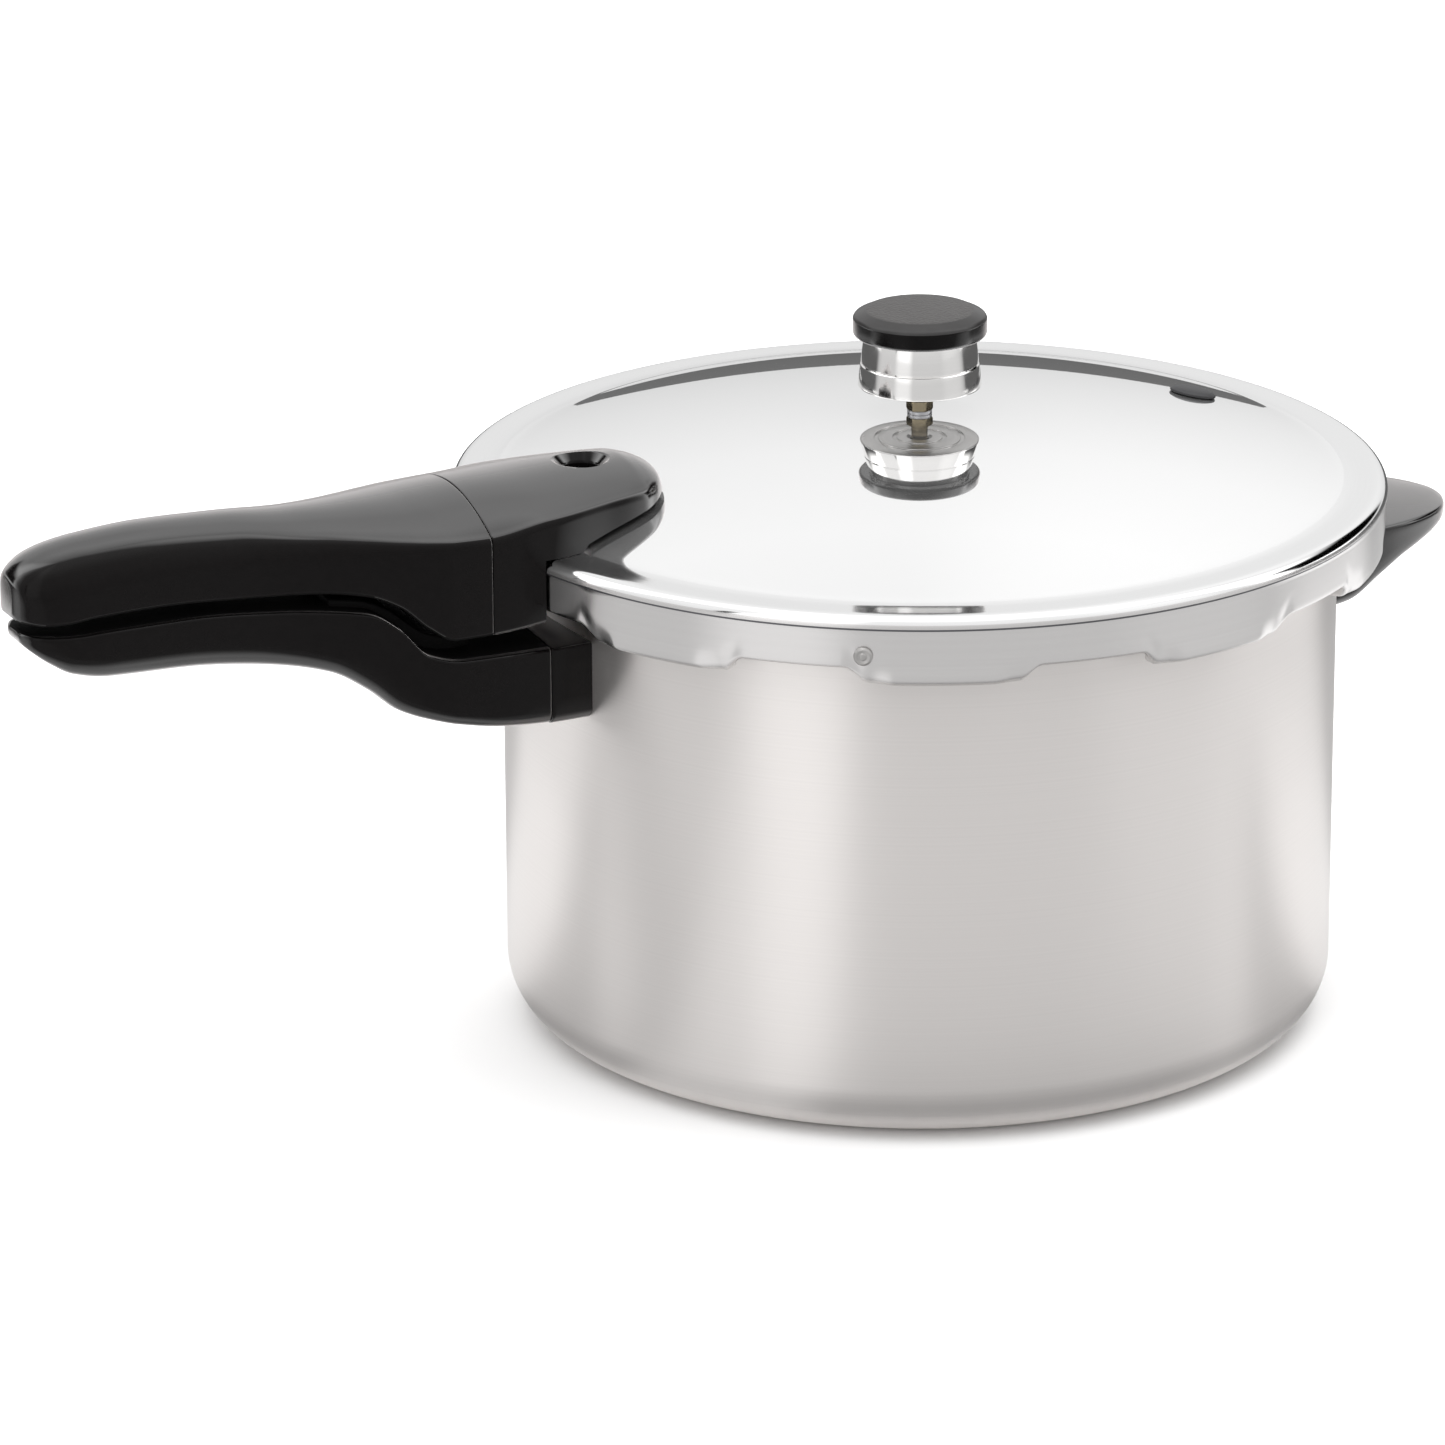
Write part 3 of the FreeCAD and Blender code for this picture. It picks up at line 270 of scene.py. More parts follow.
def bump(nodes, links, source, strength, distance, normal_from=None):
    node = nodes.new("ShaderNodeBump")
    node.inputs["Strength"].default_value = strength
    node.inputs["Distance"].default_value = distance
    links.new(source, node.inputs["Height"])
    if normal_from is not None:
        links.new(normal_from, node.inputs["Normal"])
    return node.outputs["Normal"]


def ring_lines(nodes, links):
    """Fine lines around Z: noise of radius and height only, as a turning tool leaves."""
    coords = nodes.new("ShaderNodeTexCoord")
    split = nodes.new("ShaderNodeSeparateXYZ")
    links.new(coords.outputs["Object"], split.inputs["Vector"])
    square_x = product(nodes, links, split.outputs["X"], split.outputs["X"])
    square = nodes.new("ShaderNodeMath")
    square.operation = "MULTIPLY_ADD"
    links.new(split.outputs["Y"], square.inputs[0])
    links.new(split.outputs["Y"], square.inputs[1])
    links.new(square_x, square.inputs[2])
    root = nodes.new("ShaderNodeMath")
    root.operation = "SQRT"
    links.new(square.outputs["Value"], root.inputs[0])
    join = nodes.new("ShaderNodeCombineXYZ")
    links.new(root.outputs["Value"], join.inputs["X"])
    links.new(split.outputs["Z"], join.inputs["Z"])
    tex = nodes.new("ShaderNodeTexNoise")
    tex.inputs["Scale"].default_value = LINE_SCALE
    tex.inputs["Detail"].default_value = 4.0
    links.new(join.outputs["Vector"], tex.inputs["Vector"])
    return tex


def metal(name, colour, rough_low, rough_high, lines, smear, anisotropic=0.0, haze=0.0):
    """lines is the relief of the turned lines and smear how far they darken the metal."""
    material, nodes, links, shader = new_material(name)
    shader.inputs["Metallic"].default_value = 1.0 - haze
    shader.inputs["Base Color"].default_value = (*colour, 1.0)
    wear = noise(nodes, links, 22.0, detail=6.0)
    cloud = ranged(nodes, links, wear.outputs["Fac"], rough_low, rough_high)
    turned = ring_lines(nodes, links)
    tone = nodes.new("ShaderNodeMixRGB")
    tone.blend_type = "MULTIPLY"
    tone.inputs["Fac"].default_value = 1.0
    tone.inputs["Color1"].default_value = (*colour, 1.0)
    shade = ranged(nodes, links, turned.outputs["Fac"], 1.0 - smear, 1.0)
    links.new(shade, tone.inputs["Color2"])
    links.new(tone.outputs["Color"], shader.inputs["Base Color"])
    links.new(cloud, shader.inputs["Roughness"])
    links.new(bump(nodes, links, turned.outputs["Fac"], lines, LINE_DEPTH), shader.inputs["Normal"])
    if anisotropic > 0:
        shader.inputs["Anisotropic"].default_value = anisotropic
        shader.inputs["Anisotropic Rotation"].default_value = 0.25
        tangent = nodes.new("ShaderNodeTangent")
        tangent.direction_type = "RADIAL"
        tangent.axis = "Z"
        links.new(tangent.outputs["Tangent"], shader.inputs["Tangent"])
    return material


def plastic(name, colour, rough_low, rough_high, grain=0.0, grain_scale=900.0, sheen=None):
    material, nodes, links, shader = new_material(name)
    shader.inputs["Base Color"].default_value = (*colour, 1.0)
    shader.inputs["IOR"].default_value = 1.47
    cloud = noise(nodes, links, 35.0, detail=5.0)
    links.new(ranged(nodes, links, cloud.outputs["Fac"], rough_low, rough_high), shader.inputs["Roughness"])
    tone = nodes.new("ShaderNodeMixRGB")
    tone.blend_type = "MULTIPLY"
    tone.inputs["Fac"].default_value = 1.0
    tone.inputs["Color1"].default_value = (*colour, 1.0)
    speck = noise(nodes, links, 420.0, detail=2.0)
    links.new(ranged(nodes, links, speck.outputs["Fac"], 0.75, 1.15), tone.inputs["Color2"])
    links.new(tone.outputs["Color"], shader.inputs["Base Color"])
    flow = noise(nodes, links, 60.0, detail=2.0)
    normal = bump(nodes, links, flow.outputs["Fac"], 0.05, FLOW_DEPTH)
    if grain > 0:
        fine = noise(nodes, links, grain_scale, detail=2.0)
        normal = bump(nodes, links, fine.outputs["Fac"], grain, FLOW_DEPTH, normal)
    links.new(normal, shader.inputs["Normal"])
    if sheen is not None:
        shader.inputs["IOR"].default_value = 1.7
        facing = nodes.new("ShaderNodeLayerWeight").outputs["Facing"]
        links.new(grey_ramp(nodes, links, facing, sheen), shader.inputs["Specular IOR Level"])
        bloom = smooth_range(nodes, links, facing, 0.50, 0.86, 0.0, 0.70)
        links.new(bloom, shader.inputs["Sheen Weight"])
        shader.inputs["Sheen Roughness"].default_value = 0.45
        shader.inputs["Sheen Tint"].default_value = (1.0, 0.95, 0.94, 1.0)
    return material


polished = metal("polished_lid", (0.93, 0.93, 0.93), 0.015, 0.035, lines=0.02, smear=0.015, haze=0.045)
# The skirt's satin roughness and brushing are its own finish; its base colour is set darker than the lid's,
# as painted shade on the sideways-facing skirt.
skirt_painted_shade_metal = metal("satin_skirt_painted_shade", (0.76, 0.745, 0.74), 0.20, 0.28, lines=0.25, anisotropic=0.8, smear=0.06)
brushed = metal("brushed_pot", (0.92, 0.885, 0.865), 0.34, 0.40, lines=0.35, anisotropic=0.92, smear=0.08)
inner_metal = metal("inner_pot", (0.82, 0.81, 0.80), 0.32, 0.42, lines=0.4, smear=0.10)
chrome = metal("regulator_chrome", (0.90, 0.89, 0.88), 0.05, 0.08, lines=0.05, anisotropic=0.97, smear=0.06)
nickel = metal("vent_nickel", (0.34, 0.29, 0.20), 0.20, 0.32, lines=0.2, smear=0.15)
weight_base = metal("weight_base", (0.55, 0.54, 0.53), 0.22, 0.34, lines=0.5, smear=0.22)
zinc = metal("bracket_zinc", (0.60, 0.60, 0.62), 0.30, 0.45, lines=0.2, smear=0.12)
ring_metal = metal("polished_ring", (0.92, 0.92, 0.92), 0.07, 0.11, lines=0.1, anisotropic=0.6, smear=0.03)
# Near-black metal for the narrow step under the rim's rounding: painted shade, drawing the dark line
# between the bright rounding and the skirt.
step_painted_shade = metal("rim_step_painted_shade", (0.16, 0.16, 0.17), 0.35, 0.50, lines=0.2, smear=0.2)
rivet_metal = metal("rivet_aluminium", (0.50, 0.49, 0.48), 0.25, 0.40, lines=0.3, smear=0.15)
# How strongly a moulded face shines, from seen square on (0) to seen edge on (1).
SHEEN = ((0.0, 0.05), (0.18, 0.08), (0.34, 0.70), (0.50, 0.90), (1.0, 1.0))
phenolic = plastic("black_phenolic", (0.0040, 0.0034, 0.0034), 0.10, 0.16, sheen=SHEEN)
cap_gloss = plastic("cap_gloss", (0.0040, 0.0036, 0.0036), 0.12, 0.18, sheen=SHEEN)
cap_bevel = plastic("cap_bevel", (0.018, 0.017, 0.017), 0.30, 0.38)
matt_black = plastic("matt_black", (0.0035, 0.0032, 0.0032), 0.60, 0.75, grain=0.2)
matt_black.node_tree.nodes["Principled BSDF"].inputs["Specular IOR Level"].default_value = 0.12
cap_grain = plastic("cap_grain", (0.040, 0.038, 0.037), 0.40, 0.52, grain=1.0, grain_scale=1100.0)
rubber = plastic("black_rubber", (0.022, 0.022, 0.024), 0.42, 0.58, grain=0.15, grain_scale=1200.0)

# ---- lid ------------------------------------------------------------------------------------

EDGE_R = 3.0
CREASE = 3.0
SKIRT_R = LID_R - 0.45
# degrees from a lug's middle: where its side ends, and how wide that side is
LUG_END = 11.7
LUG_SIDE = 2.7
POCKET_MIDDLE = 8.8
POCKET_HALF = 3.2
POCKET_DEPTH = 1.5
POCKET_HEIGHT = 7.5
# slots of the lid's mesh, in the order its materials are added
ON_SKIRT = 1
ON_INSIDE = 2
ON_RING = 3
ON_PAINTED_SHADE = 4


def eased(u):
    """0 to 1 with soft ends."""
    return u * u * (3 - 2 * u)


def skirt_bottom(w):
    return GAP_BOTTOM + (LUG_BOTTOM - GAP_BOTTOM) * w


def lid_profile(w):
    """Profile at one bearing, from the top's centre round the skirt to the centre underneath.

    w is 1 on a lug and 0 in a gap.
    """
    bottom = skirt_bottom(w)
    points = []
    steps = 44
    inner_start = DOME_BASE - CREASE
    for i in range(steps + 1):
        r = inner_start * i / steps
        points.append((r, dome_z(r)))
    slope = inner_start / math.sqrt(DOME_R ** 2 - inner_start ** 2)
    z_start = dome_z(inner_start)
    run = 2 * (z_start - RING_TOP) / slope
    for i in range(1, 7):
        u = i / 6
        points.append((inner_start + run * u, z_start - slope * run * (u - u * u / 2)))
    for i in range(1, 4):
        points.append((inner_start + run + (LID_R - EDGE_R - inner_start - run) * i / 4, RING_TOP))
    points += arc(LID_R - EDGE_R, RING_TOP - EDGE_R, EDGE_R, 90, 0, 10)
    lug_bend = 3.0
    gap_bend = 1.3
    top_of_bend = bottom + gap_bend + (lug_bend - gap_bend) * w
    start = RING_TOP - EDGE_R
    points.append((LID_R, start - 0.15))
    start -= 0.8
    points.append((SKIRT_R, start))
    for i in range(1, 11):
        points.append((SKIRT_R, start + (top_of_bend - start) * i / 11))
    lug_arc = arc(SKIRT_R - lug_bend, bottom + lug_bend, lug_bend, 0, -90, 8)
    gap_arc = arc(SKIRT_R - gap_bend, bottom + gap_bend, gap_bend, 0, -90, 8)
    for a, b in zip(gap_arc, lug_arc):
        points.append((a[0] + (b[0] - a[0]) * w, a[1] + (b[1] - a[1]) * w))
    lug_in = [(121.5, 0.0), (118.9, 0.0), (118.6, 0.3), (118.6, SHEET - 0.3), (118.9, SHEET),
              (121.5, SHEET), (124.0, SHEET), (124.5, SHEET + 0.2), (LID_R - SHEET, SHEET + 0.7)]
    gap_in = [(125.6, 0.0), (125.5, 0.0), (125.4, 0.02), (125.25, 0.08), (125.1, 0.18),
              (124.95, 0.3), (124.85, 0.45), (124.75, 0.65), (LID_R - SHEET, 0.9)]
    grow = w * w
    for a, b in zip(gap_in, lug_in):
        points.append((a[0] + (b[0] - a[0]) * grow, bottom + a[1] + (b[1] - a[1]) * w))
    low = points[-1][1]
    inner_top = RING_UNDER - 0.7
    for i in range(1, 6):
        points.append((LID_R - SHEET, low + (inner_top - low) * i / 5))
    points += arc(LID_R - SHEET - 0.7, inner_top, 0.7, 0, 90, 4)[1:]
    points.append((118.0, RING_UNDER))
    points.append((DOME_BASE - 0.5, RING_UNDER))
    for i in range(24, -1, -1):
        r = (DOME_BASE - 2.0) * i / 24
        points.append((r, dome_z(r, -SHEET)))
    return points


def from_lug(degrees):
    """Degrees from the middle of the nearest lug."""
    return abs((degrees - FIRST_LUG + PITCH / 2) % PITCH - PITCH / 2)


def lug_weight(degrees):
    return eased(min(max((LUG_END - from_lug(degrees)) / LUG_SIDE, 0.0), 1.0))


def pocket_weight(degrees):
    """The sheet is pressed inwards at both ends of every lug."""
    return eased(max(1.0 - abs(from_lug(degrees) - POCKET_MIDDLE) / POCKET_HALF, 0.0))


def build_lid():
    segments = 720
    verts = []
    profile = None
    for i in range(segments):
        degrees = 360.0 * i / segments
        a = math.radians(degrees)
        profile = lid_profile(lug_weight(degrees))
        pocket = pocket_weight(degrees)
        bottom = skirt_bottom(lug_weight(degrees))
        for r, z in profile:
            if r > 120.0 and z < RING_TOP - 4.0:
                near = min(max((bottom + POCKET_HEIGHT - z) / POCKET_HEIGHT, 0.0), 1.0)
                r -= POCKET_DEPTH * pocket * eased(near)
            verts.append((r * math.cos(a), r * math.sin(a), z))
    rows = len(profile)
    faces = []
    for i in range(segments):
        j = (i + 1) % segments
        for k in range(rows - 1):
            faces.append([i * rows + k, j * rows + k, j * rows + k + 1, i * rows + k + 1])
    lid = mesh_object("lid_mesh", verts, faces, polished, sharp=50.0)
    for material in (skirt_painted_shade_metal, inner_metal, ring_metal, step_painted_shade):
        lid.data.materials.append(material)
    for polygon in lid.data.polygons:
        centre = polygon.center / MM
        radial = math.hypot(centre.x, centre.y)
        facing_out = polygon.normal.x * centre.x + polygon.normal.y * centre.y
        if centre.z < RING_TOP - EDGE_R * 0.75:
            outside = facing_out > 0 or radial > LID_R - 1.5
            polygon.material_index = ON_SKIRT if outside else ON_INSIDE
        elif radial > DOME_BASE + 0.5 and polygon.normal.z > 0.2:
            polygon.material_index = ON_RING
        # The narrow step under the rim's rounding gets the near-black metal: a painted shade line.
        if centre.z > RING_TOP - EDGE_R - 1.3 and polygon.normal.z < -0.2 and radial > LID_R - 0.6:
            polygon.material_index = ON_PAINTED_SHADE
        if centre.z < RING_UNDER + 0.2 and radial < LID_R - SHEET + 0.1:
            polygon.material_index = ON_INSIDE
        if radial < DOME_BASE and polygon.normal.z < 0:
            polygon.material_index = ON_INSIDE
    return lid


lid = build_lid()
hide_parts("lid_shell")
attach(lid, "cover")

# ---- pot ------------------------------------------------------------------------------------

CORNER = 16.0
BASE = 3.2


def build_pot():
    cove_low = RIM_UNDER - RIM_COVE
    cove_out = POT_R + RIM_COVE
    outer = [(0.0, 0.0), (60.0, 0.0), (POT_R - CORNER - 1.0, 0.0)]
    outer += arc(POT_R - CORNER, CORNER, CORNER, -90, 0, 20)
    for i in range(1, 9):
        outer.append((POT_R, CORNER + (cove_low - CORNER) * i / 9))
    outer += arc(cove_out, cove_low, RIM_COVE, 180, 90, 6)
    outer += rounded([(cove_out, RIM_UNDER, 0), (RIM_R, RIM_UNDER, 0.4), (RIM_R, POT_TOP, 0.8),
                      (POT_BORE, POT_TOP, 0.8), (POT_BORE, 120.0, 0)], 4)[1:]
    inner = [(POT_BORE, 80.0), (POT_BORE, 40.0)]
    round_in = CORNER - POT_WALL
    inner += arc(POT_BORE - round_in, BASE + round_in, round_in, 0, -90, 12)
    inner += [(60.0, BASE), (0.0, BASE)]
    pot = lathe("pot_mesh", outer + inner, brushed, segments=288)
    pot.data.materials.append(inner_metal)
    for polygon in pot.data.polygons:
        centre = polygon.center / MM
        radial = math.hypot(centre.x, centre.y)
        if radial < POT_BORE + 0.3 and centre.z > 1.0 and polygon.normal.z > -0.5:
            if radial < POT_R - CORNER or polygon.normal.x * centre.x + polygon.normal.y * centre.y <= 0:
                polygon.material_index = 1
    return pot


pot = build_pot()
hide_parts("pot_body")
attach(pot, "pot")


def build_pot_lugs():
    verts = []
    faces = []
    steps = 10
    section = rounded([
        (POT_LUG_FOOT, RIM_UNDER, 0), (POT_LUG_R, RIM_UNDER, 0.7),
        (POT_LUG_R, POT_LUG_TOP, 0.7), (POT_LUG_FOOT, POT_LUG_TOP, 0),
    ], 3)
    rows = len(section)
    for k in range(round(360 / PITCH)):
        base = len(verts)
        for i in range(steps + 1):
            a = math.radians(FIRST_LUG + PITCH * k - POT_LUG_HALF + 2 * POT_LUG_HALF * i / steps)
            for r, z in section:
                verts.append((r * math.cos(a), r * math.sin(a), z))
        for i in range(steps):
            for m in range(rows):
                n = (m + 1) % rows
                faces.append([base + i * rows + m, base + (i + 1) * rows + m,
                              base + (i + 1) * rows + n, base + i * rows + n])
        faces.append([base + m for m in range(rows)])
        faces.append([base + steps * rows + m for m in reversed(range(rows))])
    return mesh_object("pot_lugs_mesh", verts, faces, inner_metal)


pot_lugs = build_pot_lugs()
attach(pot_lugs, "pot")

# ---- regulator ------------------------------------------------------------------------------

W_LOW, W_TOP = weight_low[2], cap_low[2]
W_R0, W_R1 = 16.9, 15.1
BORE_TOP = 186.4
GROOVE = 182.5


def weight_radius(z):
    return W_R0 + (W_R1 - W_R0) * (z - W_LOW) / (W_TOP - W_LOW)


weight_profile = rounded([
    (2.7, BORE_TOP, 0), (2.7, W_LOW + 0.9, 0.2), (3.6, W_LOW, 0.2), (6.4, W_LOW, 0.15),
    (6.4, W_LOW + 0.6, 0.1), (7.6, W_LOW + 0.6, 0.1), (7.6, W_LOW, 0.15), (11.6, W_LOW, 0.15),
    (11.6, W_LOW + 0.6, 0.1),
    (12.8, W_LOW + 0.6, 0.1), (12.8, W_LOW, 0.15), (W_R0, W_LOW, 0.45),
    (weight_radius(GROOVE - 0.35), GROOVE - 0.35, 0.15), (weight_radius(GROOVE) - 0.4, GROOVE, 0.1),
    (weight_radius(GROOVE + 0.35), GROOVE + 0.35, 0.15), (W_R1, W_TOP, 0.3), (5.0, W_TOP, 0),
], 4)
weight_profile.append((0.0, W_TOP))
weight_profile.append((0.0, BORE_TOP))
weight = lathe("regulator_weight_mesh", weight_profile, chrome, segments=160)
weight.data.materials.append(weight_base)
for polygon in weight.data.polygons:
    if polygon.normal.z < -0.6 and polygon.center.z < (W_LOW + 1.5) * MM:
        polygon.material_index = 1
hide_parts("regulator_weight")
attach(weight, "regulator")

CAP_R = cap_high[1]
CAP_TOP = cap_high[2]
cap_profile = rounded([
    (0.0, W_TOP, 0), (CAP_R, W_TOP, 1.2), (CAP_R, W_TOP + 5.3, 1.6), (14.9, CAP_TOP - 0.40, 1.0),
], 8)[:-1]
cap_profile += [(14.95, CAP_TOP - 0.55), (14.6, CAP_TOP - 0.40)]
for i in range(9, -1, -1):
    r = 14.3 * i / 10
    cap_profile.append((r, CAP_TOP - 0.38 * (r / 14.6) ** 2))
cap = lathe("regulator_cap_mesh", cap_profile, cap_gloss, segments=160)
cap.data.materials.append(cap_grain)
cap.data.materials.append(cap_bevel)
for polygon in cap.data.polygons:
    centre = polygon.center / MM
    if centre.z > CAP_TOP - 1.0 and math.hypot(centre.x, centre.y) < 14.6:
        polygon.material_index = 1
    elif polygon.normal.z > 0.25:
        polygon.material_index = 2
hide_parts("regulator_cap")
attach(cap, "regulator")

# ---- vent pipe and washer -------------------------------------------------------------------

PIPE_R = 2.3
THREAD_R = 2.8
HEX_LOW = DOME_TOP + 1.1
HEX_TOP = HEX_LOW + 2.6
HEX_FLATS = 6.3
WASHER_R = 3.4
pipe_profile = rounded([
    (0.9, pipe_low[2], 0), (THREAD_R, pipe_low[2], 0.3), (THREAD_R, HEX_LOW, 0), (PIPE_R, HEX_LOW, 0),
    (PIPE_R, pipe_high[2], 0.4), (0.9, pipe_high[2], 0),
], 3)
pipe = lathe("vent_pipe_mesh", pipe_profile, nickel, segments=48)
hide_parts("vent_pipe")
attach(pipe, "cover")


def build_hexagon(name, flats, low, high, material, hole):
    """A nut: six flats, its corners turned off top and bottom."""
    verts = []
    faces = []
    turned = flats * 0.5 * 1.09
    corner = flats / math.sqrt(3)
    chamfer = 0.35
    rings = ((hole, low, 0), (turned, low, 1), (corner, low + chamfer, 2), (corner, high - chamfer, 2),
             (turned, high, 1), (hole, high, 0))
    segments = 72
    for r, z, kind in rings:
        for i in range(segments):
            a = 2 * math.pi * i / segments
            sector = (a + math.pi / 6) % (math.pi / 3) - math.pi / 6
            flat = flats * 0.5 / math.cos(sector)
            reach = r if kind == 0 else (min(r, flat) if kind == 1 else flat)
            verts.append((reach * math.cos(a), reach * math.sin(a), z))
    count = len(rings)
    for k in range(count):
        m = (k + 1) % count
        for i in range(segments):
            j = (i + 1) % segments
            faces.append([k * segments + i, k * segments + j, m * segments + j, m * segments + i])
    return mesh_object(name, verts, faces, material, sharp=20.0)


hexagon = build_hexagon("vent_hexagon", HEX_FLATS, HEX_LOW, HEX_TOP, nickel, PIPE_R - 0.05)
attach(hexagon, "cover")
washer = lathe("vent_washer_mesh", rounded([
    (THREAD_R, DOME_TOP, 0), (WASHER_R, DOME_TOP, 0.1), (WASHER_R, HEX_LOW, 0.3), (THREAD_R, HEX_LOW, 0),
], 4), zinc, segments=64)
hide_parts("vent_pipe_washer")
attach(washer, "cover")

# ---- overpressure plug ----------------------------------------------------------------------

PLUG_REACH = 91.6
PLUG_ANGLE = math.radians(7.0)
PLUG_X = PLUG_REACH * math.cos(PLUG_ANGLE)
PLUG_Y = PLUG_REACH * math.sin(PLUG_ANGLE)
plug_profile = rounded([
    (0.0, -4.7, 0), (6.6, -4.7, 0.8), (6.6, -2.4, 0.4), (4.5, -2.4, 0.2), (4.5, 0.15, 0.1),
    (6.45, 0.15, 0.35), (6.45, 0.85, 0.4), (5.2, 1.5, 0.6), (4.0, 1.85, 0),
], 4)
for i in range(7, -1, -1):
    r = 4.0 * i / 8
    plug_profile.append((r, 2.1 - 0.25 * (r / 4.0) ** 2))
plug = lathe("overpressure_plug_mesh", plug_profile, rubber, segments=72)
tilt = math.asin(PLUG_REACH / DOME_R)
place = Matrix.Translation(Vector((PLUG_X, PLUG_Y, dome_z(PLUG_REACH))) * MM)
turn = Matrix.Rotation(tilt, 4, Vector((-math.sin(PLUG_ANGLE), math.cos(PLUG_ANGLE), 0)))
plug.data.transform(place @ turn)
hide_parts("overpressure_plug")
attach(plug, "cover")

# ---- stop rivet -----------------------------------------------------------------------------

RIVET_ANGLE = math.radians(236.3)
RIVET_HEIGHT = 141.2
rivet_profile = rounded([
    (0.0, 119.4, 0), (2.0, 119.4, 0.3), (2.0, LID_R - 0.3, 0), (2.5, LID_R - 0.3, 0.1),
    (2.5, LID_R + 0.35, 0.2), (1.9, LID_R + 0.85, 0.2), (1.1, LID_R + 0.6, 0.15), (0.7, LID_R + 0.85, 0.15),
    (0.0, LID_R + 0.9, 0),
], 4)
rivet = lathe("stop_rivet_mesh", rivet_profile, rivet_metal, segments=48)
across = Vector((-math.sin(RIVET_ANGLE), math.cos(RIVET_ANGLE), 0))
place = Matrix.Translation(Vector((0, 0, RIVET_HEIGHT * MM)))
rivet.data.transform(place @ Matrix.Rotation(math.pi / 2, 4, across))
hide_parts("stop_rivet")
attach(rivet, "cover")

# ---- moulded handles ------------------------------------------------------------------------
# Stations along a handle: distance from the pot's axis, half width, lowest, shoulder, crown.

COVER = (
    (80.2, 3.6, 150.0, 162.0, 163.0),
    (80.7, 6.6, 149.8, 162.6, 164.2),
    (81.9, 10.1, 149.4, 163.1, 165.8),
    (84.2, 13.9, 148.0, 163.5, 167.3),
    (87.4, 17.5, 145.5, 163.6, 168.5),
    (91.0, 20.0, 144.0, 163.6, 169.2),
    (104.0, 23.5, 140.0, 163.2, 169.4),
    (122.0, 27.4, 135.0, 162.2, 168.9),
    (139.6, 28.5, 133.8, 159.9, 168.4),
    (150.0, 28.1, 133.6, 160.1, 167.8),
    (157.0, 26.6, 137.5, 160.3, 167.4),
    (164.0, 24.2, 143.6, 160.5, 167.2),
    (172.0, 21.2, 146.9, 160.9, 167.1),
    (184.0, 17.6, 148.4, 161.4, 167.4),
    (204.0, 14.9, 149.3, 162.4, 168.9),
    (226.0, 14.0, 150.2, 163.0, 169.6),
    (244.0, 13.6, 149.7, 161.3, 168.5),
    (252.0, 13.2, 148.9, 160.4, 167.2),
    (257.5, 12.0, 148.8, 159.8, 165.4),
    (261.0, 9.9, 149.2, 159.2, 163.4),
    (263.2, 7.2, 149.5, 158.7, 161.4),
    (264.2, 4.6, 149.7, 158.4, 160.2),
)
BODY = (
    (110.0, 26.4, 105.6, 127.2, 128.5),
    (122.8, 27.6, 106.0, 127.3, 128.6),
    (137.0, 28.4, 107.3, 127.6, 128.8),
    (148.0, 28.2, 109.4, 127.8, 129.0),
    (157.0, 26.7, 111.8, 130.0, 131.2),
    (164.0, 24.3, 114.5, 137.4, 138.5),
    (171.0, 21.6, 120.2, 141.8, 142.8),
    (180.0, 18.5, 125.4, 143.0, 144.0),
    (197.0, 15.5, 129.0, 144.6, 145.6),
    (218.0, 14.2, 131.2, 145.8, 146.8),
    (240.0, 13.7, 131.8, 145.6, 146.6),
    (250.0, 12.8, 134.0, 145.2, 146.0),
    (256.0, 11.2, 137.6, 145.3, 146.0),
    (260.5, 8.4, 141.2, 145.5, 146.1),
    (262.6, 4.6, 143.2, 145.6, 146.0),
)
HELPER = (
    (110.0, 30.0, 103.3, 124.4, 125.6),
    (120.0, 29.2, 104.6, 124.3, 125.5),
    (130.0, 27.4, 109.6, 124.2, 125.4),
    (140.0, 24.8, 114.2, 124.0, 125.2),
    (148.0, 21.4, 116.4, 123.8, 124.9),
    (155.0, 16.6, 118.0, 123.5, 124.5),
    (160.0, 10.6, 119.4, 123.2, 124.0),
    (162.8, 4.6, 120.4, 122.9, 123.5),
)


def section_loop(half, low, shoulder, crown, low_round, top_round):
    """Half of a section from the bottom centre to the crown, mirrored into a closed loop."""
    drop = max(crown - shoulder, 0.05)
    curve = (half * half + drop * drop) / (2 * drop)
    lean = math.asin(min(half / curve, 0.95))
    top_round = min(top_round, half * 0.45, max((shoulder - low) * 0.45, 0.2))
    low_round = min(low_round, half * 0.6, max((shoulder - low) * 0.5, 0.2))
    right = [(0.0, low), (half * 0.45, low)]
    right += arc(half - low_round, low + low_round, low_round, -90, 0, 6)
    for i in range(1, 4):
        right.append((half, low + low_round + (shoulder - top_round - low - low_round) * i / 4))
    inner_x = half - top_round
    crown_z = crown - curve + math.sqrt(curve * curve - inner_x * inner_x)
    start = (half, min(shoulder - top_round, crown_z - 0.02))
    control = (half, crown_z - (half - inner_x) * math.tan(lean) * 0.5)
    for i in range(7):
        u = i / 6
        x = (1 - u) ** 2 * start[0] + 2 * u * (1 - u) * control[0] + u * u * inner_x
        z = (1 - u) ** 2 * start[1] + 2 * u * (1 - u) * control[1] + u * u * crown_z
        right.append((x, z))
    for i in range(1, 21):
        x = inner_x * (1 - i / 20)
        right.append((x, crown - curve + math.sqrt(curve * curve - x * x)))
    left = [(-x, z) for x, z in reversed(right[1:-1])]
    return right + left


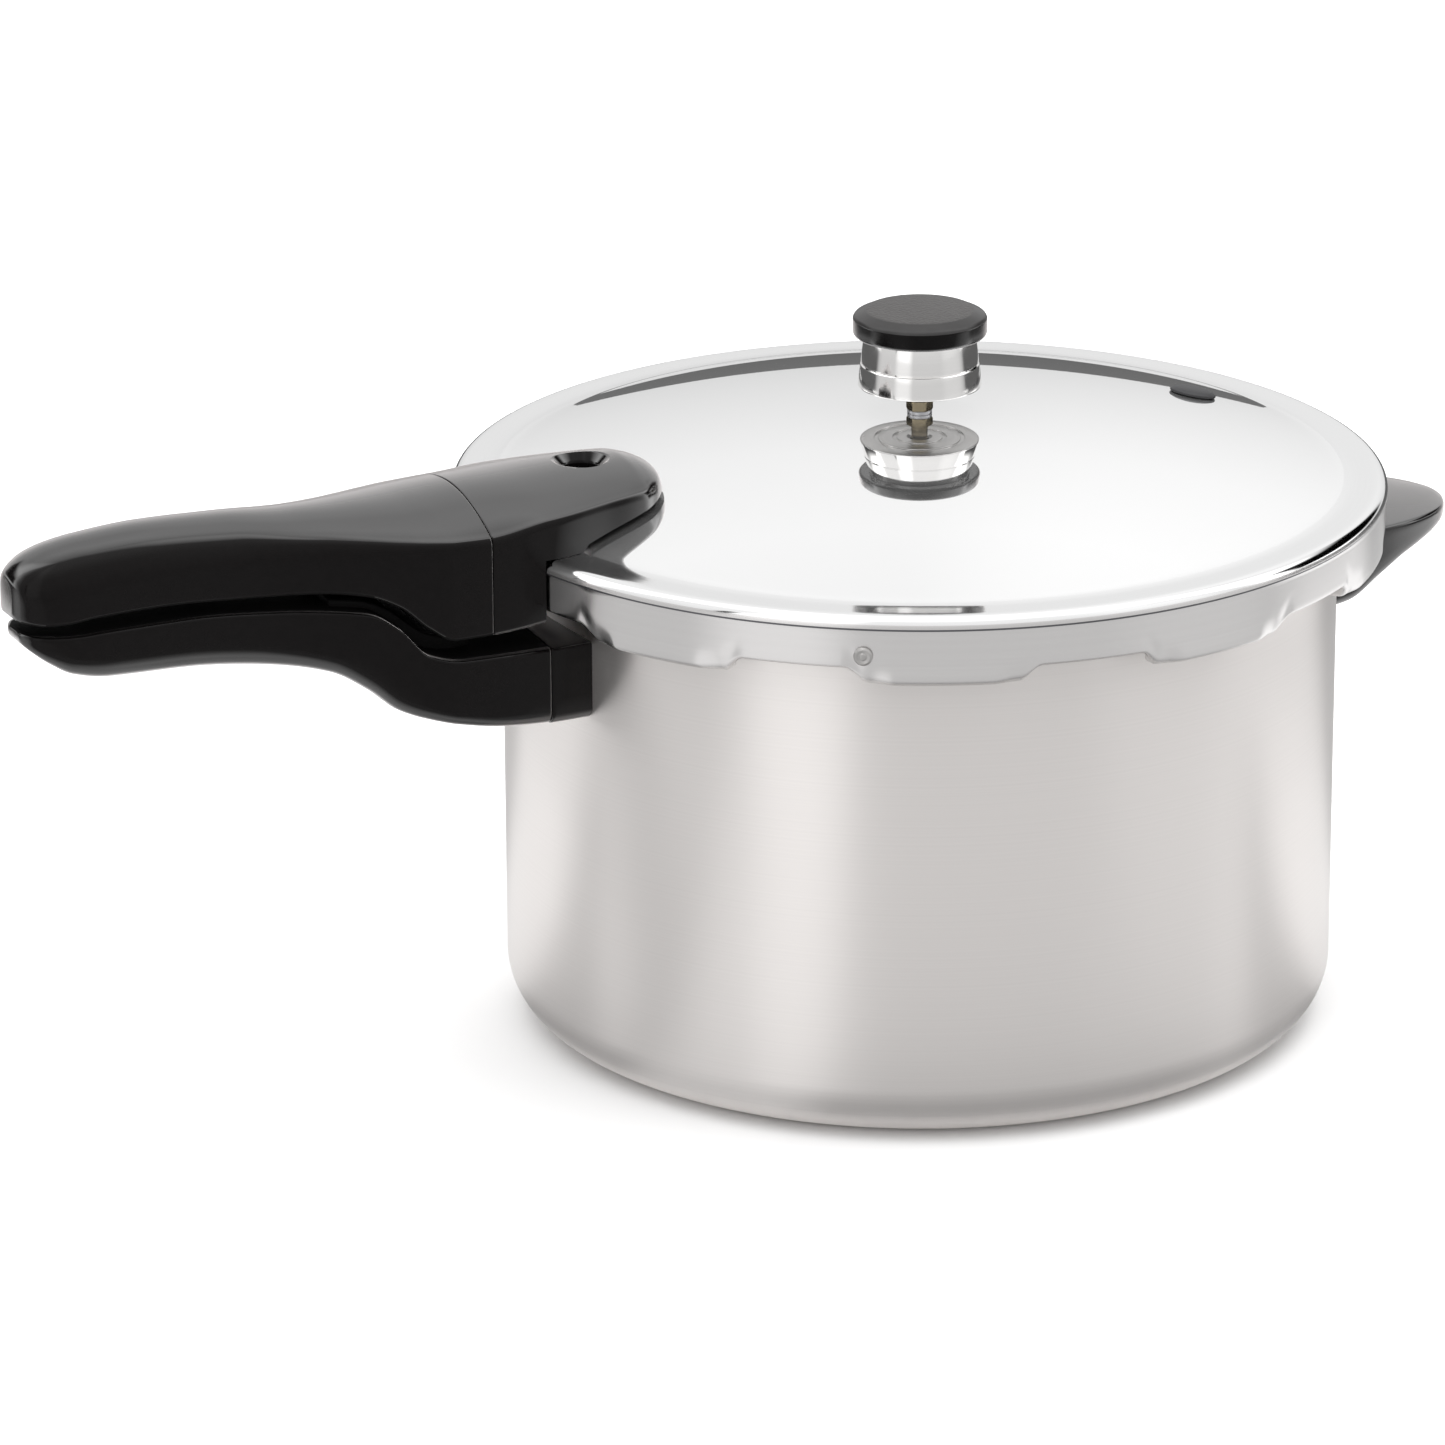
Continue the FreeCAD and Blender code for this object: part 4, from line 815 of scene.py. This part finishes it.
def handle_mesh(name, stations, start, stop, direction, low_round, top_round, material, steps,
                ends=(0.4, 0.4)):
    """A moulded bar through the stations, with its end faces rounded over."""
    verts = []
    faces = []
    places = []
    for i in range(steps + 1):
        u = i / steps
        places.append((start + (stop - start) * (1 - math.cos(math.pi * u)) / 2, 0.0))
    first = []
    last = []
    for k in range(4):
        along = 1 - math.cos(math.pi / 8 * k)
        inward = 1 - math.sin(math.pi / 8 * k)
        first.append((start + ends[0] * along, ends[0] * inward))
        last.append((stop - ends[1] * along, ends[1] * inward))
    places = first + [p for p in places if start + ends[0] <= p[0] <= stop - ends[1]] + list(reversed(last))
    for t, inset in places:
        half = smooth_value(stations, 1, t) - inset
        low = smooth_value(stations, 2, t) + inset
        shoulder = smooth_value(stations, 3, t) - inset * 0.5
        crown = smooth_value(stations, 4, t) - inset
        loop = section_loop(half, low, shoulder, crown, low_round(t), top_round(t))
        for y, z in loop:
            verts.append((direction * t, y, z))
    rows = len(loop)
    for i in range(len(places) - 1):
        for k in range(rows):
            m = (k + 1) % rows
            faces.append([i * rows + k, (i + 1) * rows + k, (i + 1) * rows + m, i * rows + m])
    faces.append(list(range(rows)))
    faces.append([(len(places) - 1) * rows + k for k in reversed(range(rows))])
    return mesh_object(name, verts, faces, material, sharp=40.0)


def apply_cut(thing, cutter):
    modifier = thing.modifiers.new("cut", "BOOLEAN")
    modifier.operation = "DIFFERENCE"
    modifier.solver = "EXACT"
    modifier.object = cutter
    bpy.context.view_layer.update()
    graph = bpy.context.evaluated_depsgraph_get()
    made = bpy.data.meshes.new_from_object(thing.evaluated_get(graph))
    thing.modifiers.clear()
    thing.data = made
    bpy.data.objects.remove(cutter)


def keep_one_material(thing, material, sharp):
    thing.data.materials.clear()
    thing.data.materials.append(material)
    thing.data.polygons.foreach_set("material_index", [0] * len(thing.data.polygons))
    thing.data.polygons.foreach_set("use_smooth", [True] * len(thing.data.polygons))
    thing.data.set_sharp_from_angle(angle=math.radians(sharp))


def cut_to_pot(thing, name):
    """Takes away what reaches inside the pot's wall."""
    reach = POT_R + 0.05
    apply_cut(thing, lathe(name, [(0.0, 0.0), (reach, 0.0), (reach, 150.0), (0.0, 150.0)], None))


def gap_profile(clear_dome, clear_ring, clear_skirt, step):
    points = [(0.0, 100.0), (LID_R + clear_skirt, 100.0), (LID_R + clear_skirt, RING_TOP + clear_ring),
              (step, RING_TOP + clear_ring)]
    for i in range(20, -1, -1):
        r = (step - 2.0) * i / 20
        points.append((r, dome_z(r, clear_dome)))
    return points


front = handle_mesh("cover_handle_front_mesh", COVER, COVER[0][0], SEAM_COVER - SEAM_GAP, -1.0,
                    lambda t: 1.2, lambda t: 1.6 if t > 92 else 1.6 + (92 - t) * 0.25, phenolic,
                    steps=170, ends=(0.6, 0.35))
apply_cut(front, lathe("cut_dome", gap_profile(1.6, 0.15, 0.15, 115.3), None))
HOLE_X = -101.2
well = lathe("cut_hole", rounded([
    (0.0, 120.0, 0), (5.0, 120.0, 0), (5.0, 166.7, 1.5), (7.4, 169.0, 1.6), (10.0, 170.3, 0),
    (10.0, 180.0, 0), (0.0, 180.0, 0),
], 6), None, segments=96)
well.data.transform(Matrix.Translation(Vector((HOLE_X * MM, 0, 0))))
apply_cut(front, well)
keep_one_material(front, phenolic, 40.0)
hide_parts("cover_handle_front")
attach(front, "cover")

grip = handle_mesh("cover_handle_grip_mesh", COVER, SEAM_COVER + SEAM_GAP, COVER[-1][0], -1.0,
                   lambda t: 1.2, lambda t: 1.6 if t < 150 else min(1.6 + (t - 150) * 0.06, 4.8), phenolic,
                   steps=160, ends=(0.35, 0.8))
grip.data.materials.append(matt_black)
for polygon in grip.data.polygons:
    if polygon.normal.z < -0.35:
        polygon.material_index = 1
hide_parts("cover_handle_grip")
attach(grip, "cover")

block = handle_mesh("body_handle_block_mesh", BODY, BODY[0][0], SEAM_BODY - SEAM_GAP, -1.0,
                    lambda t: 3.0, lambda t: 1.0, phenolic, steps=20, ends=(0.1, 0.35))
cut_to_pot(block, "cut_pot_block")
keep_one_material(block, phenolic, 40.0)
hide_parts("body_handle_mount")
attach(block, "pot")

body_grip = handle_mesh("body_handle_grip_mesh", BODY, SEAM_BODY + SEAM_GAP, BODY[-1][0], -1.0,
                        lambda t: 4.0 if t < 150 else min(4.0 + (t - 150) * 0.06, 7.0),
                        lambda t: 1.0, phenolic, steps=160, ends=(0.35, 0.8))
body_grip.data.materials.append(matt_black)
# The rib inside the grip closes the view through the gap between the two handles.
RIB = (
    (142.0, 17.0, 120.0, 130.8, 131.2),
    (148.0, 18.0, 120.0, 131.6, 132.0),
    (155.0, 18.0, 120.0, 133.8, 134.2),
    (160.0, 17.0, 122.0, 137.4, 137.8),
    (164.0, 16.0, 125.0, 140.8, 141.2),
    (172.0, 15.0, 130.0, 144.3, 144.7),
    (180.0, 13.0, 135.0, 145.2, 145.6),
)
rib = handle_mesh("body_handle_rib_mesh", RIB, RIB[0][0], RIB[-1][0], -1.0,
                  lambda t: 1.0, lambda t: 0.8, phenolic, steps=30)
rib.data.materials.append(matt_black)
for polygon in rib.data.polygons:
    polygon.material_index = 1
both = bmesh.new()
both.from_mesh(body_grip.data)
both.from_mesh(rib.data)
both.to_mesh(body_grip.data)
both.free()
bpy.data.objects.remove(rib)
for polygon in body_grip.data.polygons:
    centre = polygon.center / MM
    if polygon.normal.z > 0.6 and abs(centre.y) < smooth_value(BODY, 1, -centre.x) - 1.8:
        polygon.material_index = 1
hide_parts("body_handle_grip")
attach(body_grip, "pot")

helper = handle_mesh("helper_handle_mesh", HELPER, HELPER[0][0], HELPER[-1][0], 1.0,
                     lambda t: 3.0, lambda t: 1.2, phenolic, steps=60, ends=(0.1, 0.8))
cut_to_pot(helper, "cut_pot_helper")
keep_one_material(helper, phenolic, 40.0)
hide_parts("helper_handle")
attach(helper, "pot")

# ---- pieces shown as modelled in CAD --------------------------------------------------------

carried = {
    "sealing_ring": rubber, "vent_pipe_nut": nickel, "air_vent_pin": zinc, "air_vent_gasket": rubber,
    "air_vent_clip": zinc, "locking_bracket": zinc, "cover_handle_bracket": zinc,
    "cover_handle_screws": zinc, "body_handle_bracket": zinc, "body_handle_screw": zinc,
    "helper_bracket": zinc, "helper_handle_screw": zinc, "cooking_rack": inner_metal,
}
for node, material in carried.items():
    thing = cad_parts[node]
    thing.data.materials.clear()
    thing.data.materials.append(material)

# ---- stage ----------------------------------------------------------------------------------


def plain(name, colour, roughness):
    material, _, _, shader = new_material(name)
    shader.inputs["Base Color"].default_value = (*colour, 1.0)
    shader.inputs["Roughness"].default_value = roughness
    return material


def disc(name, inner, outer, height, material, segments=96):
    verts = []
    faces = []
    for r in (inner, outer):
        for i in range(segments):
            a = 2 * math.pi * i / segments
            verts.append((r * math.cos(a), r * math.sin(a), height))
    for i in range(segments):
        j = (i + 1) % segments
        faces.append([i, j, segments + j, segments + i])
    return mesh_object(name, verts, faces, material)


CAMERA_AZIMUTH = -25.7


def bearing_vector(from_camera):
    """Horizontal unit vector at an angle from the camera's side, counted to the right of the picture."""
    angle = math.radians(CAMERA_AZIMUTH + from_camera)
    return (math.sin(angle), -math.cos(angle), 0.0)


def sector_mask(nodes, links, vector, from_camera, half, soft):
    """1 inside a sector of bearings and 0 outside, with soft edges; angles in degrees."""
    flat = nodes.new("ShaderNodeVectorMath")
    flat.operation = "MULTIPLY"
    flat.inputs[1].default_value = (1.0, 1.0, 0.0)
    links.new(vector, flat.inputs[0])
    unit = nodes.new("ShaderNodeVectorMath")
    unit.operation = "NORMALIZE"
    links.new(flat.outputs["Vector"], unit.inputs[0])
    dot = nodes.new("ShaderNodeVectorMath")
    dot.operation = "DOT_PRODUCT"
    dot.inputs[1].default_value = bearing_vector(from_camera)
    links.new(unit.outputs["Vector"], dot.inputs[0])
    outer = math.cos(math.radians(half + soft))
    inner = math.cos(math.radians(max(half - soft, 0.0)))
    return smooth_range(nodes, links, dot.outputs["Value"], outer, inner)


def mixed(nodes, links, factor, base, other):
    """base where factor is 0, other where it is 1; each a number or a socket."""
    node = nodes.new("ShaderNodeMapRange")
    links.new(factor, node.inputs["Value"])
    for socket, value in (("To Min", base), ("To Max", other)):
        if isinstance(value, float):
            node.inputs[socket].default_value = value
        else:
            links.new(value, node.inputs[socket])
    return node.outputs["Result"]


def brighter(nodes, links, value, mask, amount):
    node = nodes.new("ShaderNodeMath")
    node.operation = "MULTIPLY_ADD"
    links.new(mask, node.inputs[0])
    node.inputs[1].default_value = amount
    links.new(value, node.inputs[2])
    return node.outputs["Value"]


# Upright light strips, as bearings from the camera's side: middle, half width, edge softness, strength.
STRIPS = (
    (-33.0, 12.0, 8.0, 0.55),
    (-108.0, 16.0, 10.0, 1.15),
    (108.0, 16.0, 10.0, 1.20),
    (62.0, 12.0, 12.0, 0.12),
)

# Black flags that draw the dark edges of the chromed weight: middle, half width, edge softness.
FLAGS = ((-120.0, 22.0, 2.0), (-50.0, 1.6, 0.8), (124.0, 24.0, 3.0))

floor = disc("floor", 0.001, 20000.0, -0.02, plain("floor_white", (0.86, 0.86, 0.86), 0.9))


def sheen_material():
    """What reflections see on the floor: darker beside the pot and far behind it."""
    material = bpy.data.materials.new("floor_sheen")
    material.use_nodes = True
    nodes = material.node_tree.nodes
    links = material.node_tree.links
    nodes.clear()
    out = nodes.new("ShaderNodeOutputMaterial")
    emit = nodes.new("ShaderNodeEmission")
    links.new(emit.outputs["Emission"], out.inputs["Surface"])
    place_of = nodes.new("ShaderNodeTexCoord").outputs["Object"]
    length = nodes.new("ShaderNodeVectorMath")
    length.operation = "LENGTH"
    links.new(place_of, length.inputs[0])
    distance = length.outputs["Value"]
    level = smooth_range(nodes, links, distance, 0.112, 0.210, 0.30, 0.68)
    for middle, half, soft, strength in STRIPS:
        strip = sector_mask(nodes, links, place_of, middle, half, soft)
        level = brighter(nodes, links, level, strip, strength * 0.5)
    far = smooth_range(nodes, links, distance, 0.52, 0.66)
    behind = sector_mask(nodes, links, place_of, 180.0, 92.0, 8.0)
    dark = product(nodes, links, far, behind)
    links.new(mixed(nodes, links, dark, level, 0.12), emit.inputs["Strength"])
    return material


floor_sheen = disc("floor_sheen", 112.0, 19000.0, 0.0, sheen_material())
floor_sheen.visible_camera = False
floor_sheen.visible_diffuse = False
floor_sheen.visible_shadow = False
floor_sheen.visible_transmission = False

# The world's brightness against the height of a direction, from 0 straight sideways to 1 straight up.
SKY = ((0.0, 0.70), (0.22, 0.80), (0.42, 0.90), (0.64, 0.96), (0.76, 0.94), (0.86, 1.15), (0.95, 1.5))


def build_world():
    world = bpy.data.worlds.new("studio")
    bpy.context.scene.world = world
    world.use_nodes = True
    nodes = world.node_tree.nodes
    links = world.node_tree.links
    direction = nodes.new("ShaderNodeTexCoord").outputs["Generated"]
    split = nodes.new("ShaderNodeSeparateXYZ")
    links.new(direction, split.inputs["Vector"])
    height = split.outputs["Z"]
    sky = grey_ramp(nodes, links, height, SKY)
    for middle, half, soft, strength in STRIPS:
        strip = sector_mask(nodes, links, direction, middle, half, soft)
        sky = brighter(nodes, links, sky, strip, strength)
    behind = sector_mask(nodes, links, direction, 162.0, 6.0, 12.0)
    sky = brighter(nodes, links, sky, behind, 0.08)
    raised = smooth_range(nodes, links, height, 0.06, 0.12)
    lowered = smooth_range(nodes, links, height, 0.46, 0.60, 1.0, 0.0)
    band = product(nodes, links, raised, lowered)
    for middle, half, soft in FLAGS:
        sector = sector_mask(nodes, links, direction, middle, half, soft)
        sky = mixed(nodes, links, product(nodes, links, band, sector), sky, 0.0)
    background = nodes["Background"]
    background.inputs["Color"].default_value = (1.0, 1.0, 1.0, 1.0)
    links.new(sky, background.inputs["Strength"])


build_world()

overhead = bpy.data.lights.new("overhead", "AREA")
overhead.shape = "DISK"
overhead.size = 5.0
overhead.energy = 120.0
overhead_lamp = bpy.data.objects.new("overhead", overhead)
bpy.context.scene.collection.objects.link(overhead_lamp)
overhead_lamp.location = (0.0, 0.0, 3.2)
overhead_lamp.visible_camera = False
overhead_lamp.visible_glossy = False

# ---- camera ---------------------------------------------------------------------------------

ELEVATION = 19.34
DISTANCE = 2097.96
LOOK = (-48.50, 23.34, 79.29)
LENS = 190.16
ROLL = 0.282
a, e = math.radians(CAMERA_AZIMUTH), math.radians(ELEVATION)
back = Vector((math.sin(a) * math.cos(e), -math.cos(a) * math.cos(e), math.sin(e)))
camera_data = bpy.data.cameras.new("camera")
camera_data.sensor_width = 36.0
camera_data.lens = LENS
camera_data.clip_start = 0.05
camera_data.clip_end = 100.0
camera = bpy.data.objects.new("camera", camera_data)
bpy.context.scene.collection.objects.link(camera)
camera.location = (Vector(LOOK) + back * DISTANCE) * MM
camera.rotation_mode = "QUATERNION"
roll = Matrix.Rotation(math.radians(-ROLL), 3, "Z").to_quaternion()
camera.rotation_quaternion = (-back).to_track_quat("-Z", "Y") @ roll
bpy.context.scene.camera = camera
bpy.context.scene.view_settings.view_transform = "Standard"
bpy.context.scene.view_settings.look = "None"
